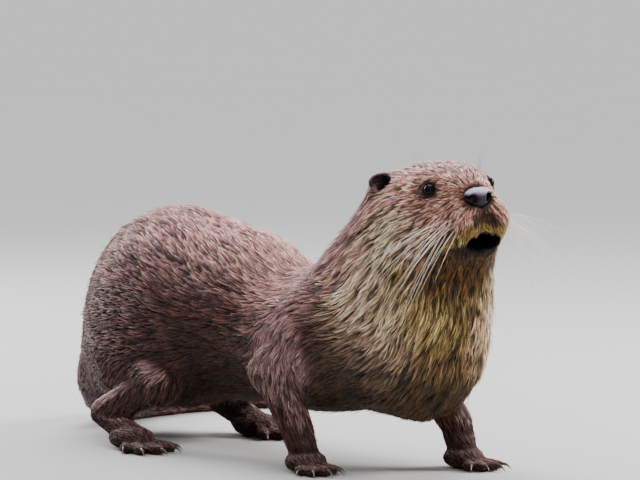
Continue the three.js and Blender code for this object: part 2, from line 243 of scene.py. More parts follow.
HEAD_COAT_ENDS = (84, 42)  # from the head's middle, where its short hair has gone and where it starts to go

# ---------------------------------------------------------------- meshes as arrays


def read(items, key, width, kind=np.float32):
    """One property of every item of a mesh, as one long array."""
    values = np.empty(len(items) * width, kind)
    items.foreach_get(key, values)
    return values


def coordinates(mesh):
    return read(mesh.vertices, "co", 3).reshape(-1, 3).astype(float)


def normals_of(mesh):
    return read(mesh.vertex_normals, "vector", 3).reshape(-1, 3).astype(float)


def place(mesh, points):
    mesh.vertices.foreach_set("co", np.asarray(points, np.float32).ravel())
    mesh.update()


def tree_of_faces(mesh):
    return BVHTree.FromPolygons([v.co for v in mesh.vertices], [p.vertices for p in mesh.polygons])


def tree_of_points(points, numbers):
    """A tree that finds the nearest of the numbered points."""
    tree = kdtree.KDTree(len(numbers))
    for number in numbers:
        tree.insert(points[number], number)
    tree.balance()
    return tree


class Surface:
    """A mesh as arrays, with values that can be spread along its edges."""

    def __init__(self, mesh):
        self.points = coordinates(mesh)
        self.normals = normals_of(mesh)
        pairs = read(mesh.edges, "vertices", 2, np.int32)
        self.first, self.second = pairs[::2], pairs[1::2]
        self.neighbours = np.bincount(pairs, minlength=len(self.points)).clip(1)

    def spread(self, values, times):
        """Values averaged with their neighbours', again and again."""
        values = values.copy()
        count = len(self.points)
        for _ in range(times):
            for column in range(values.shape[1]):
                here = values[:, column]
                total = np.bincount(self.first, here[self.second], count)
                total += np.bincount(self.second, here[self.first], count)
                values[:, column] = (here + total / self.neighbours) / 2
        return values


def by_region(shares):
    return dict(zip(REGIONS, shares.T))


def region_shares(surface, times):
    """How far each point belongs to each region, with soft borders."""
    corners, faces, owners = [], [], []
    for number, region in enumerate(REGIONS):
        for node in REGION_NODES[region]:
            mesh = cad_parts[node].data
            base = len(corners)
            corners.extend(vertex.co for vertex in mesh.vertices)
            faces.extend([base + i for i in polygon.vertices] for polygon in mesh.polygons)
            owners.extend([number] * len(mesh.polygons))
    tree = BVHTree.FromPolygons(corners, faces)
    nearest = [owners[tree.find_nearest(point)[2]] for point in surface.points]
    shares = np.eye(len(REGIONS))[nearest]
    # The head's short hair gives way to the neck's over a long stretch, not at the cut between the solids.
    head, neck = REGIONS.index("head"), REGIONS.index("neck")
    kept = ease(distance_to(to_head(surface.points), HEAD_MIDDLE), *HEAD_COAT_ENDS)
    both = shares[:, head] + shares[:, neck]
    shares[:, head], shares[:, neck] = both * kept, both * (1 - kept)
    return surface.spread(shares, times)


def coat_values(shares):
    """Each of the coat's measures at each point, from the shares of the regions."""
    table = np.array([COAT[region] for region in REGIONS])
    return dict(zip(COAT_COLUMNS, (shares @ table).T))


# ---------------------------------------------------------------- objects, attributes and modifiers

WEIGHT_STEPS = 64  # steps in which a vertex group is filled
made = {}  # what one operator leaves for the next


def put_in_scene(name, data):
    item = bpy.data.objects.new(name, data)
    bpy.context.scene.collection.objects.link(item)
    return item


def add_piece(mesh, material, slot, *nodes):
    """A finished piece on the otter's one body, which stands for the given nodes."""
    mesh.materials.append(material)
    mesh.shade_smooth()
    piece = put_in_scene(mesh.name, mesh)
    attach(piece, "root")
    if nodes:
        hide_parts(*nodes)
    return piece


def mesh_from(bm, name):
    mesh = bpy.data.meshes.new(name)
    bm.to_mesh(mesh)
    bm.free()
    return mesh


def apply_modifiers(mesh, *modifiers, **groups):
    """A new mesh after modifiers, each given as its kind and a dictionary of its settings. Vertex groups
    are given by name, as a weight for each vertex."""
    holder = put_in_scene("holder", mesh)
    for name, weights in groups.items():
        group = holder.vertex_groups.new(name=name)
        steps = np.rint(np.clip(weights, 0, 1) * WEIGHT_STEPS).astype(int)
        for step in range(1, WEIGHT_STEPS + 1):
            group.add(np.nonzero(steps == step)[0].tolist(), step / WEIGHT_STEPS, "REPLACE")
    for kind, settings in modifiers:
        modifier = holder.modifiers.new(kind.lower(), kind)
        for key, value in settings.items():
            setattr(modifier, key, value)
    graph = bpy.context.evaluated_depsgraph_get()
    result = bpy.data.meshes.new_from_object(holder.evaluated_get(graph))
    bpy.data.objects.remove(holder)
    bpy.data.meshes.remove(mesh)
    return result


def paint(mesh, name, colours):
    """Stores a colour for each vertex."""
    rgba = np.ones((len(colours), 4), np.float32)
    rgba[:, :3] = np.clip(colours, 0, 1)
    attribute = mesh.color_attributes.new(name, "FLOAT_COLOR", "POINT")
    attribute.data.foreach_set("color", rgba.ravel())


# ---------------------------------------------------------------- markings, shared by skin and coat

NAPE = unit(np.array([-0.55, 0.1, 0.85]))  # the way the back of the neck faces
CHEST_FACING = unit(np.array([0.8, 0.0, -0.6]))
BIB = (-22.0, -24.0, -97.0)  # middle of the cream patch on the chest, in the head's frame
BIB_RADII = (30.0, 22.0, 24.0)
THROAT = (-30.0, 0.0, -40.0)  # where the pale fur starts from, in the head's frame
FACE = (0.0, 0.0, -15.0)  # middle of the face's own colours, in the head's frame
FACE_ENDS = (84, 50)  # from there, where they are all gone, and where they start to go
NOSE_SURROUND = (9.0, 14.0, 10.5)  # half sizes of the dark fur about the nose
PATCH_WAVE, STREAK_WAVE, FLECK_WAVE = 60 * MM, 22 * MM, 5 * MM  # of the random fields
# Painted shadow on the inner edge of the lower lip and in the mouth's opening.
LIP_SHADOW = (0.008, 0.005, 0.003)
MOUTH_SHADOW = (0.002, 0.0015, 0.0015)
# How strongly each marking covers what is under it, and for the painted highlight along the back how much
# paler it is.
STRENGTH = {
    "upper": 0.75, "neck": 0.8, "back_highlight": 0.8, "bib": 0.7, "rust": 0.75, "snout": 0.95, "dots": 0.7,
    "eye_ring": 0.85, "first_fold_shade": 0.65, "second_fold_shade": 0.45, "tear": 0.7, "paws": 0.35, "ears": 0.45,
    "rump": 0.4, "lip": 0.9, "lip_shadow": 0.9, "nose": 0.7,
}


class Spots:
    """Points of the skin, with what their markings are worked out from: the places in the head's frame, how
    far out to the side they are, how far along the trunk, and two random fields."""

    def __init__(self, points, normals, shares):
        self.points, self.normals = points, normals
        self.share = by_region(shares)
        self.head = to_head(points)
        self.side = np.abs(self.head[:, 1])
        self.patches = ripple(points, PATCH_WAVE, 3)
        self.streaks = ripple(points, STREAK_WAVE, 4)
        low, high = box_of("trunk")
        self.along = (points[:, 0] - low[0]) / (high[0] - low[0])


def body_colour(looks, at, upper):
    """Flank brown, with the back's colour where the surface faces up as painted sky light and painted shade
    where it faces down, with a painted highlight along the back and painted shade on the chest.
    """
    rising = at.normals[:, 2]
    # The back's paler colour where the surface faces up is painted sky light.
    colour = mix(looks.flank, looks.back, ease(rising + 0.08 * at.patches, 0.12, 0.9))
    colour = mix(colour, upper, at.share["neck"] * STRENGTH["neck"])
    # Darker where the body faces down: painted shade.
    belly_shade = ease(-rising + 0.1 * at.patches, -0.3, 0.5) * at.share["trunk"]
    colour = mix(colour, looks.belly_shade, belly_shade)
    # Painted highlight along the top of the back, where the surface faces up.
    back_highlight = bump(at.along, 0.5, 0.22) * ease(rising, 0.3, 0.8) * at.share["trunk"]
    colour = colour * (1 + STRENGTH["back_highlight"] * back_highlight)[:, None]
    # The chest darker where it faces forward and down: its brown with painted shade.
    chest = ease(at.along, 0.7, 0.88) * ease(at.normals @ CHEST_FACING, 0.1, 0.6)
    return mix(colour, looks.chest, chest * at.share["trunk"])


def throat_colour(looks, at):
    """Pale, with olive-brown painted shadow along the middle and under the jaw."""
    ahead, left, above = at.head.T
    # Painted shadow of the head along the throat's middle and under the jaw, olive-brown.
    under = ease(np.abs(left + 18 + 7 * at.streaks), 76, 6)
    under *= ease(above + 3 * at.streaks, -36, -56) * ease(ahead, -85, -45)
    jaw_shadow = bump(ahead, -24, 20) * bump(at.side, 53, 14) * bump(above, -60, 18)
    return mix(looks.throat, looks.chin_shadow, np.maximum(under, jaw_shadow))


def throat_share(at):
    """The pale front of the neck fades down over the chest. The nape stays brown."""
    share = at.share
    front = ease(at.normals @ NAPE + 0.07 * at.patches + 0.06 * at.streaks, 0.38, -0.2)
    reach = ease(distance_to(at.points, from_head(THROAT)), 0.14, 0.07)
    return front * reach * (share["neck"] + share["trunk"] + share["head"])


def face_colour(looks, at, pale):
    """Reddish brown, lilac on the forehead, rusty on the brows, pale on the cheeks and dark at the lip."""
    ahead, left, above = at.head.T
    side, streaks = at.side, at.streaks
    forehead = ease(above, -6, 12) * ease(ahead, 30, 10)
    forehead *= ease(side + 5 * streaks - 0.5 * np.clip(-ahead, 0, 60), 27, 12)
    face = mix(looks.face, looks.forehead, forehead)
    muzzle_top = bump(side, 17, 9) * bump(above, -9, 11) * bump(ahead, 20, 13)
    brows = 0.7 * bump(side, 22, 9) * bump(above, 13, 8)
    face = mix(face, looks.rust, np.clip(muzzle_top + brows, 0, 1) * STRENGTH["rust"])
    brow_line = -13 + 0.3 * np.clip(-ahead, 0, 50) + 3.5 * streaks
    cheek = ease(above - brow_line, 8, -16) * ease(ahead + 2 * streaks, 10, -26)
    face = mix(face, pale, cheek)
    jaw = ease(above, -30, -42) * ease(ahead + 3 * streaks, -36, -14)
    face = mix(face, looks.chin, jaw * ease(side + 3 * streaks, 44, 30))
    snout = bump(left, 0, 15) * bump(above, -32, 10) * ease(ahead, 13, 24)
    snout = ease(snout + 0.1 * streaks, 0.17, 0.65)
    face = mix(face, np.array(looks.chin) * 0.3, snout * STRENGTH["snout"])
    whisker_dots = ease(np.sin(ahead * 1.5 + above) * np.sin(above * 2.3), 0.35, 0.8)
    whisker_dots *= bump(above, -31, 7) * ease(ahead, -2, 10) * ease(side, 8, 13)
    face = mix(face, looks.dark, whisker_dots * STRENGTH["dots"])
    return face * np.exp(0.45 * ripple(at.points, FLECK_WAVE, 5) - 0.1)[:, None]


def eye_marks(looks, at, colour):
    """Dark round the eyes, with painted shade in the folds under them and a line from the inner corner, and
    painted shade in the hollows of the ears.
    """
    for name, sign in SIDES.items():
        from_eye = at.head - EYES[name]
        fore, _, up = from_eye.T
        ring = np.linalg.norm(from_eye * (0.8, 1.0, 1.0), axis=1)
        colour = mix(colour, looks.dark, ease(ring, 12.5, 7.5) * STRENGTH["eye_ring"])
        under_eye = ease(up, -2, -9) * ease(fore, 16, 4) * ease(fore, -26, -12)
        # Painted shade in two creases under the eye.
        fold_shade = bump(ring + 1.2 * at.streaks, 14.5, 1.6) * STRENGTH["first_fold_shade"]
        fold_shade += bump(ring + 1.6 * at.streaks, 20, 1.7) * STRENGTH["second_fold_shade"]
        colour = mix(colour, looks.dark, fold_shade * under_eye)
        tear = bump(up + 0.35 * fore, -1.5, 1.8) * bump(fore, 9, 6) * STRENGTH["tear"]
        colour = mix(colour, looks.dark, tear * (sign * at.head[:, 1] > 4))
        # The hollow of the ear painted almost black, as the shade inside it.
        colour = mix(colour, np.array(looks.dark) * 0.2, ease(cup_of(at.head, name), 1.25, 1.0))
    return colour


def mouth_marks(looks, at, colour):
    """A cream edge to the upper lip, painted shade on the lower lip, darkest at its inner edge, and a mouth
    painted black as its shadow.
    """
    ahead, _, above = at.head.T
    gape, over = gape_of(at.head), above - MOUTH[2]
    lip = ease(gape + 0.1 * at.streaks, 2.4, 1.6) * ease(over + 0.12 * at.side, -2.5, 2.5)
    colour = mix(colour, looks.lip, lip * ease(ahead, 4, 12) * STRENGTH["lip"])
    # Painted shade on the lower lip, darkest at its inner edge; the opening is painted black as its shadow.
    below = ease(gape, 1.75, 1.35) * ease(over, 1.0, -2.0) * ease(ahead, 0, 8)
    colour = mix(colour, np.array(looks.chin) * 0.6, below)
    colour = mix(colour, LIP_SHADOW, below * ease(gape, 1.5, 1.05) * STRENGTH["lip_shadow"])
    return mix(colour, MOUTH_SHADOW, ease(gape, 1.12, 0.98) * ease(ahead, -8, 0))


def markings(points, normals, shares):
    """The coat's colour at each point: markings, with painted light and shade laid in among them."""
    looks = bpy.context.scene.otter_looks
    at = Spots(points, normals, shares)
    share, height = at.share, points[:, 2]
    # Flank brown mixed with the back's painted sky light, for the neck, the tops of the forelegs and the end
    # of the rump.
    upper = mix(looks.flank, looks.back, STRENGTH["upper"])
    pale = throat_colour(looks, at)
    colour = mix(body_colour(looks, at, upper), pale, throat_share(at))
    bib = np.exp(-((((at.head - BIB) / BIB_RADII) ** 2).sum(1) ** 1.5))
    colour = mix(colour, looks.cream, bib * STRENGTH["bib"])
    off_face = np.linalg.norm((at.head - FACE) / (1.0, 1.0, 1.15), axis=1) + 4 * at.streaks
    colour = mix(colour, face_colour(looks, at, pale), ease(off_face, *FACE_ENDS))
    colour = eye_marks(looks, at, colour)
    colour = mix(colour, looks.dark, share["paws"] * STRENGTH["paws"] + share["ears"] * STRENGTH["ears"])
    # Painted highlight on the tops of the forelegs, lit from above.
    upper_arm_highlight = share["legs"] * ease(height, 0.055, 0.09) * ease(at.along, 0.45, 0.6)
    colour = mix(colour, upper, upper_arm_highlight)
    # Painted rim light on the rear end of the rump, except where it faces down.
    rump = share["trunk"] * ease(at.along, 0.14, 0.0) * ease(normals[:, 2], -0.6, 0.2)
    colour = mix(colour, upper, rump * STRENGTH["rump"])
    colour = mouth_marks(looks, at, colour)
    near_nose = ease(np.linalg.norm((at.head - NOSE) / NOSE_SURROUND, axis=1), 1.35, 1.0)
    return mix(colour, looks.dark, near_nose * STRENGTH["nose"])


# ---------------------------------------------------------------- skin

GROWTH = 0.4  # millimetres by which the flesh solids grow, to close the cuts between them
VOXEL = 1.25 * MM
SMOOTH_PASSES = 110
SOFT_BORDERS, FORM_BORDERS, SKIN_BORDERS = 60, 40, 14  # passes that soften the regions' borders
SOCKET_REACH = 9.5  # how far from an eye's middle the skin is moved to fit it
SKIN_KEPT = 0.27  # share of the skin's triangles that are kept
SKIN_SHADE = 0.22  # the skin's colour as a share of the coat's, darker as painted shade under the tufts


def flesh_mesh():
    """The flesh solids as one body, grown a little so that the cuts between them close."""
    bm = bmesh.new()
    for node in FLESH:
        bm.from_mesh(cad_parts[node].data)
    bmesh.ops.remove_doubles(bm, verts=bm.verts, dist=0.001 * MM)
    bm.normal_update()
    for vertex in bm.verts:
        vertex.co += vertex.normal * GROWTH * MM
    mesh = apply_modifiers(mesh_from(bm, "flesh"), ("REMESH", {"mode": "VOXEL", "voxel_size": VOXEL}))
    values = coat_values(region_shares(Surface(mesh), SOFT_BORDERS))
    smoothing = {"factor": 0.5, "iterations": SMOOTH_PASSES, "vertex_group": "soft"}
    return apply_modifiers(mesh, ("SMOOTH", smoothing), soft=values["smooth"])


def narrow_mouth(head):
    """The mouth's opening drawn in at its corners and lowered, its upper edge drooping at each side."""
    ahead, left, above = head.T
    side = np.abs(left)
    near = ease(above, -65, -54) * ease(above, -24, -37) * ease(side, 34, 20) * ease(ahead, -6, 3)
    droop = 2.4 * bump(side, 10, 5.5) * ease(above, -46, -41)
    moved = np.stack([0.13 * side * ease(side, 8, 15), -0.18 * left, -4.0 - droop], axis=1)
    return head + moved * near[:, None]


def shape_face(points, normals):
    """Finer forms of the face, as moves in the head's frame."""
    head = narrow_mouth(to_head(points))
    facing = normals @ HEAD_AXES.T
    ahead, left, above = head.T
    side = np.abs(left)
    for name in SIDES:
        from_eye = head - EYES[name]
        distance = np.linalg.norm(from_eye, axis=1)
        outwards = from_eye / np.maximum(distance, 0.01)[:, None]
        angle = degrees_between(outwards, gaze(name))
        # The coat stands clear of the eyeball, and is behind it within the lids.
        covered = angle > EYE_OPENING
        clear = np.where(covered, EYE_RADIUS + 0.5, EYE_RADIUS - 1.5)
        wanted = np.where(covered, np.maximum(distance, clear), np.minimum(distance, clear))
        head += outwards * ((wanted - distance) * (distance < SOCKET_REACH))[:, None]
        # Brow above the eye and a soft bag under it.
        near = ease(distance, 17, 8) * ease(angle, 20, EYE_OPENING)
        head += facing * (1.7 * near * bump(from_eye[:, 2], 9.5, 3.5))[:, None]
        head += facing * (1.1 * near * bump(from_eye[:, 2], -8.5, 2.5))[:, None]
        from_ear = head - EARS[name] - (-3.0, 0.0, -4.0)
        head += unit(from_ear) * (2.6 * ease(np.linalg.norm(from_ear, axis=1), 20, 10))[:, None]
    groove = bump(left, 0, 1.6) * bump(above, -28, 7) * ease(ahead, 16, 24)
    head -= facing * (1.6 * groove)[:, None]
    whisker_pads = bump(side, 17, 9) * bump(above, -31, 8) * ease(ahead, 2, 14)
    head += facing * (1.2 * whisker_pads)[:, None]
    lip = bump(gape_of(head), 1.2, 0.12) * ease(ahead, 4, 12)
    head += facing * (0.8 * lip)[:, None]
    return from_head(head)


def build_skin():
    """One closed skin in place of the flesh solids, set in by the coat's depth."""
    mesh = flesh_mesh()
    place(mesh, shape_face(coordinates(mesh), normals_of(mesh)))
    surface = Surface(mesh)
    shares = region_shares(surface, FORM_BORDERS)
    depth = coat_values(shares)["depth"]
    normals = unit(surface.spread(surface.normals, 6))
    place(mesh, surface.points - normals * (depth * MM)[:, None])
    share = by_region(shares)
    fine = np.clip(share["head"] + share["ears"] + 0.6 * share["paws"], 0, 1)
    thinning = {"ratio": SKIN_KEPT, "vertex_group": "coarse", "vertex_group_factor": 1.0}
    mesh = apply_modifiers(mesh, ("DECIMATE", thinning), coarse=1 - 0.9 * fine)
    mesh.name = "skin"
    surface = Surface(mesh)
    shares = region_shares(surface, SKIN_BORDERS)
    # The skin is painted darker than the coat, as shade under the tufts.
    paint(mesh, "markings", markings(surface.points, surface.normals, shares) * SKIN_SHADE)
    piece = add_piece(mesh, skin_material(), "fur_body", *FLESH)
    made.update(skin=piece, surface=surface, shares=shares, lie=lie_of_coat(surface, shares))


# ---------------------------------------------------------------- lie of the coat


def line(node, *places):
    """Points along the middle of a node, at shares of its length and height."""
    return [spot(node, u, 0.5, w) for u, w in places]


# The middle of the tail, from its root to its tip.
TAIL_LINE = [
    spot("tail_base", 0.9, 0.25, 0.85),
    spot("tail_base", 0.58, 0.29, 0.51),
    spot("tail_base", 0.29, 0.46, 0.27),
    spot("tail_base", 0.15, 0.77, 0.18),
    spot("tail_end", 0.17, 0.11, 0.42),
    spot("tail_end", 0.34, 0.47, 0.31),
    spot("tail_end", 0.66, 0.79, 0.2),
    spot("tail_end", 0.96, 0.97, 0.11),
]
# Lines that the hair follows, from the head to the tail and down the limbs, by region.
LIE = {
    "neck": [
        [from_head([-30.0, 0.0, -20.0]), *line("neck", (0.5, 0.45)), *line("trunk", (0.8, 0.45))],
        [from_head([0.0, 0.0, -60.0]), *line("neck", (0.95, 0.2)), *line("trunk", (1.0, 0.45))],
        [from_head([-75.0, 0.0, 0.0]), *line("neck", (0.1, 0.45)), *line("trunk", (0.68, 0.75))],
    ],
    "trunk": [
        line("trunk", (0.8, 0.8), (0.6, 0.7), (0.42, 0.84), (0.24, 0.98)),
        line("trunk", (0.24, 0.98), (0.08, 0.9), (0.0, 0.7)),
        line("trunk", (0.85, 0.5), (0.55, 0.42), (0.3, 0.46), (0.0, 0.46)),
        line("trunk", (1.0, 0.9), (1.04, 0.5), (0.93, 0.1), (0.7, 0.0)),
        line("trunk", (0.7, 0.0), (0.4, 0.0), (0.1, 0.0)),
    ],
    "tail": [TAIL_LINE],
    "legs": [
        *(line(f"foreleg_{side}", (0.75, 1.0), (0.3, 0.5), (0.65, 0.0)) for side in SIDES),
        *(line(f"hindleg_{side}", (0.75, 1.0), (0.3, 0.5), (0.05, 0.0)) for side in SIDES),
    ],
    "paws": [
        *(line(f"forepaw_{side}", (0.2, 1.0), (0.4, 0.5), (1.0, 0.0)) for side in SIDES),
        *(line(f"hindpaw_{side}", (0.0, 1.0), (0.3, 0.5), (1.0, 0.0)) for side in SIDES),
    ],
}
LINE_REACH = 30 * MM  # within which a line leads the hair
LINE_BLUR = 0.2  # keeps the lines' turns soft
RUFFLE = 0.75  # how steeply the hair stands on the back


def along_lines(points, lines):
    """The direction of the nearest lines at each point, the near ones counting most."""
    total = np.zeros_like(points)
    for line_points in lines:
        for start, end in zip(line_points, line_points[1:]):
            span = end - start
            share = np.clip((points - start) @ span / (span @ span), 0, 1)
            gap = np.linalg.norm(points - start - share[:, None] * span, axis=1)
            total += unit(span) / ((gap / LINE_REACH) ** 2 + LINE_BLUR)[:, None] ** 2
    return unit(total)


def flattened(vectors, normals):
    """Vectors turned to lie along the surface."""
    return unit(vectors - normals * (vectors * normals).sum(1)[:, None])


def lie_of_coat(surface, shares):
    """The way the hair lies at each point of the skin."""
    points, normals = surface.points, surface.normals
    share = by_region(shares)
    from_nose = unit((to_head(points) - NOSE - (2.0, 0.0, 2.0)) * (1.0, 1.0, 1.15))
    flow = (from_nose @ HEAD_AXES) * (share["head"] + share["ears"])[:, None]
    low, high = box_of("trunk")
    along, _, up = ((points - low) / (high - low)).T
    # On the thigh the hair still lies as it does on the flank, and turns down the leg lower on.
    thigh = share["legs"] * ease(along, 0.6, 0.45) * ease(points[:, 2], 0.055, 0.1)
    share["legs"] = share["legs"] - thigh
    share["trunk"] = share["trunk"] + thigh
    for region, lines in LIE.items():
        flow += along_lines(points, lines) * share[region][:, None]
    ruffle = bump(along, 0.33, 0.24) * ease(up, 0.5, 0.8) * share["trunk"]
    flow[:, 2] += RUFFLE * ruffle
    flow = flattened(flow, normals)
    for _ in range(4):
        flow = flattened(surface.spread(flow, 6), normals)
    return flow


# ---------------------------------------------------------------- bundles of hairs

BAKE_PATCH = 0.003  # side of a hair's patch on the map, as a share of the map's


def bundle_mesh(name, paths, widths, heights, faces_up, sides=3):
    """Many closed, tapering hairs as one mesh. Each path runs from a root point to a tip point, with a ring
    at each point between, and each ring has its own width and height. Three-sided hairs lie on a side."""
    count, stations = paths.shape[:2]
    rings = stations - 2
    ahead = unit(paths[:, 2:] - paths[:, :-2])
    across = unit(np.cross(ahead, faces_up[:, None]))
    above = np.cross(across, ahead)
    turns = 2 * math.pi * (np.arange(sides) + 0.75 * (sides == 3)) / sides
    wide = across[:, :, None] * (np.cos(turns)[:, None] * widths[..., None, None] / 2)
    high = above[:, :, None] * (np.sin(turns)[:, None] * heights[..., None, None] / 2)
    loops = paths[:, 1:-1, None] + wide + high
    per_hair = rings * sides + 2
    points = np.concatenate([paths[:, :1], loops.reshape(count, -1, 3), paths[:, -1:]], axis=1)

    faces = []
    for k in range(sides):
        here, following = 1 + k, 1 + (k + 1) % sides
        faces.append((0, following, here))
        for ring in range(rings - 1):
            a, b = here + ring * sides, following + ring * sides
            faces += [(a, b, b + sides), (a, b + sides, a + sides)]
        last = (rings - 1) * sides
        faces.append((here + last, following + last, per_hair - 1))
    corners = (np.array(faces)[None] + per_hair * np.arange(count)[:, None, None]).ravel()

    mesh = bpy.data.meshes.new(name)
    mesh.vertices.add(count * per_hair)
    mesh.loops.add(len(corners))
    mesh.polygons.add(len(corners) // 3)
    mesh.vertices.foreach_set("co", points.astype(np.float32).ravel())
    mesh.loops.foreach_set("vertex_index", corners.astype(np.int32))
    mesh.polygons.foreach_set("loop_start", np.arange(0, len(corners), 3, dtype=np.int32))
    mesh.update(calc_edges=True)
    return mesh, corners


def map_bundle(mesh, corners, roots, rings, sides=3):
    """The map that each hair is baked through: a small patch at its root's place on the skin's unwrap."""
    side = np.array([0.5, *(np.tile(np.arange(sides), rings) / (sides - 1)), 0.5])
    along = np.array([0.0, *np.repeat(np.arange(1, rings + 1) / (rings + 1), sides), 1.0])
    patch = (np.stack([side, along], axis=1) - 0.5) * BAKE_PATCH
    places = (roots[:, None] + patch[None]).reshape(-1, 2)[corners]
    layer = mesh.uv_layers.new(name="OFBake")
    layer.uv.foreach_set("vector", places.astype(np.float32).ravel())


def unwrap(mesh):
    """A coarse copy of the skin, unwrapped, as a tree with its faces' corners on skin and map."""
    copy = apply_modifiers(mesh.copy(), ("DECIMATE", {"ratio": 0.05}), ("TRIANGULATE", {}))
    holder = put_in_scene("unwrapped", copy)
    bpy.context.view_layer.objects.active = holder
    holder.select_set(True)
    bpy.ops.object.mode_set(mode="EDIT")
    bpy.ops.mesh.select_all(action="SELECT")
    bpy.ops.uv.smart_project(angle_limit=math.radians(66), island_margin=0.006)
    bpy.ops.object.mode_set(mode="OBJECT")
    triangles = coordinates(copy)[read(copy.loops, "vertex_index", 1, np.int32)].reshape(-1, 3, 3)
    places = read(copy.uv_layers.active.uv, "vector", 2).reshape(-1, 3, 2).astype(float)
    tree = tree_of_faces(copy)
    bpy.data.objects.remove(holder)
    bpy.data.meshes.remove(copy)
    return tree, triangles, places


def places_on_map(points):
    """Where points of the skin lie on its unwrap."""
    tree, triangles, places = unwrap(made["skin"].data)
    face = np.array([tree.find_nearest(point)[2] for point in points])
    a, b, c = np.moveaxis(triangles[face], 1, 0)
    normal = np.cross(b - a, c - a)
    size = np.maximum((normal**2).sum(1), 1e-24)
    second = (np.cross(points - a, c - a) * normal).sum(1) / size
    third = (np.cross(b - a, points - a) * normal).sum(1) / size
    weights = np.clip(np.stack([1 - second - third, second, third], axis=1), 0, 1)
    weights /= weights.sum(1, keepdims=True)
    return (places[face] * weights[..., None]).sum(1)


# ---------------------------------------------------------------- coat

STATIONS = np.array([0.0, 0.3, 0.66, 1.0])  # root, rings and tip along a tuft
RISE = np.array([0.0, 0.55, 0.95, 1.0])  # share of its lift that a tuft has at each
RING_WIDTHS = np.array([1.0, 0.66])
FLATNESS = 0.5  # a tuft's height as a share of its width
ROOT_DEPTH = 0.35 * MM  # by which a tuft starts below the skin
FLOOR_GAP = 0.5 * MM
STRAY_SHARE = 0.07  # guard hairs that stand clear of the rest
STRAY_LENGTH, STRAY_LIFT, STRAY_WIDTH = 1.25, 2.2, 0.6
LENGTH_RANGE, LIFT_RANGE, WIDTH_RANGE = (0.75, 1.2), (0.55, 1.35), (0.7, 1.25)  # as shares of normal
LEAN, LEAN_WAVE, FRONT_WAVE = 0.22, 17 * MM, 8 * MM  # of neighbours together
OWN_LEAN = 0.09  # of each tuft on its own
NEAR_LEADERS = 8  # middle tufts that a tuft chooses its lock from
LOCK_STRETCH = 0.33  # a lock's width as a share of its length
LOCK_NARROW = 0.6  # how narrow a lock is for its area, since it runs along the lie of the hair
LOCK_EDGE = 1.6  # where a lock ends, as a share of its radius
PULLS = ((2, 0.4), (3, 0.8))  # how far the stations near the tip are drawn to the middle of the lock
MOST_PULL = 0.35  # as a share of the tuft's length
EDGE_SINK = 0.3  # how far a tuft at the edge of a lock sinks, as a share of its lift
OWN_TONE = (-0.3, 0.2)  # middle and spread of each tuft's tone, as a power of e
DARKEST = -1.75  # tone of a tuft in the painted shade of a gap
# Shares of a tuft's colour along it: painted shade towards the root and a painted highlight at the tip.
ROOT_SHADE, TIP_HIGHLIGHT = 0.1, 1.8
RING_SHADES = {1: (0.6,), 2: (0.45, 1.0)}  # by how many rings a tuft has
# tint of the painted sheen on the tips of brown hairs
SHEEN_TINT = (1.02, 0.94, 1.06)
MOST_TRIANGLES = 190000  # in one piece of the coat
TRIANGLES_PER_RING = 6  # of a three-sided tuft, with its two ends counted
NOSE_PAD = (9.0, 13.5, 9.5)  # half sizes of the part of the nose where no hair grows


class Coat:
    """Roots of all tufts on the skin, with what is known at each, and the way along the skin from them."""

    def __init__(self, skin, surface, shares, lie, fullness):
        self.surface, self.lie_at_vertices = surface, lie
        mesh = skin.data
        mesh.calc_loop_triangles()
        corners = read(mesh.loop_triangles, "vertices", 3, np.int32).reshape(-1, 3)
        a, b, c = np.moveaxis(surface.points[corners], 1, 0)
        area = np.linalg.norm(np.cross(b - a, c - a), axis=1) / 2 / MM**2
        values = coat_values(shares)
        face_layers = values["layers"] * bare_share(surface.points) * fullness
        tuft_areas = values["length"] * values["width"] * size_share(surface.points) ** 2
        expected = area * (face_layers * 2 / tuft_areas)[corners].mean(1)
        # Roots are dealt out evenly along a walk over the skin, so that none crowd together.
        walk = np.argsort(cell_order((a + b + c) / 3))
        running = np.cumsum(expected[walk])
        self.random = random = np.random.default_rng(11)
        count = int(running[-1])
        dealt = (np.arange(count) + random.random(count)).clip(0, running[-1] - 1e-6)
        triangle = corners[walk[np.searchsorted(running, dealt)]]
        weights = random.dirichlet((1.0, 1.0, 1.0), count)

        def at_roots(field):
            return np.einsum("ij,ijk->ik", weights, field[triangle])

        self.roots, self.normals = at_roots(surface.points), unit(at_roots(surface.normals))
        self.lie = flattened(at_roots(lie), self.normals)
        self.shares = at_roots(shares)
        self.values = coat_values(self.shares)
        self.size = size_share(self.roots)
        self.front = self.shares[:, REGIONS.index("neck")] + self.shares[:, REGIONS.index("head")]
        self.tree = tree_of_points(surface.points, range(len(surface.points)))

    def walk(self, points, headings, distances):
        """Points moved along the skin, with the lie and the normal there."""
        moved = points + headings * distances[:, None]
        nearest = np.array([self.tree.find(point)[1] for point in moved])
        normals = self.surface.normals[nearest]
        moved -= normals * ((moved - self.surface.points[nearest]) * normals).sum(1)[:, None]
        return moved, self.lie_at_vertices[nearest], normals


def cell_order(points, cell=0.006):
    """A number for each point that is near for points that are near, by weaving the digits of its cell."""
    cells = np.floor((points - points.min(0)) / cell).astype(np.int64)
    order = np.zeros(len(points), np.int64)
    for digit in range(8):
        for axis in range(3):
            order |= ((cells[:, axis] >> digit) & 1) << (3 * digit + axis)
    return order


def size_share(points):
    """How much shorter and finer the hair is on the face, towards the nose and round the eyes."""
    head = to_head(points)
    from_nose = distance_to(head, NOSE)
    share = mix(0.5, 1.0, ease(from_nose, 12, 60))
    for name in SIDES:
        share *= mix(0.6, 1.0, ease(distance_to(head, EYES[name]), 7, 16))
    share *= mix(0.7, 1.0, ease(gape_of(head), 1.6, 3.0))
    return mix(share, 1.0, ease(from_nose, 70, 110))


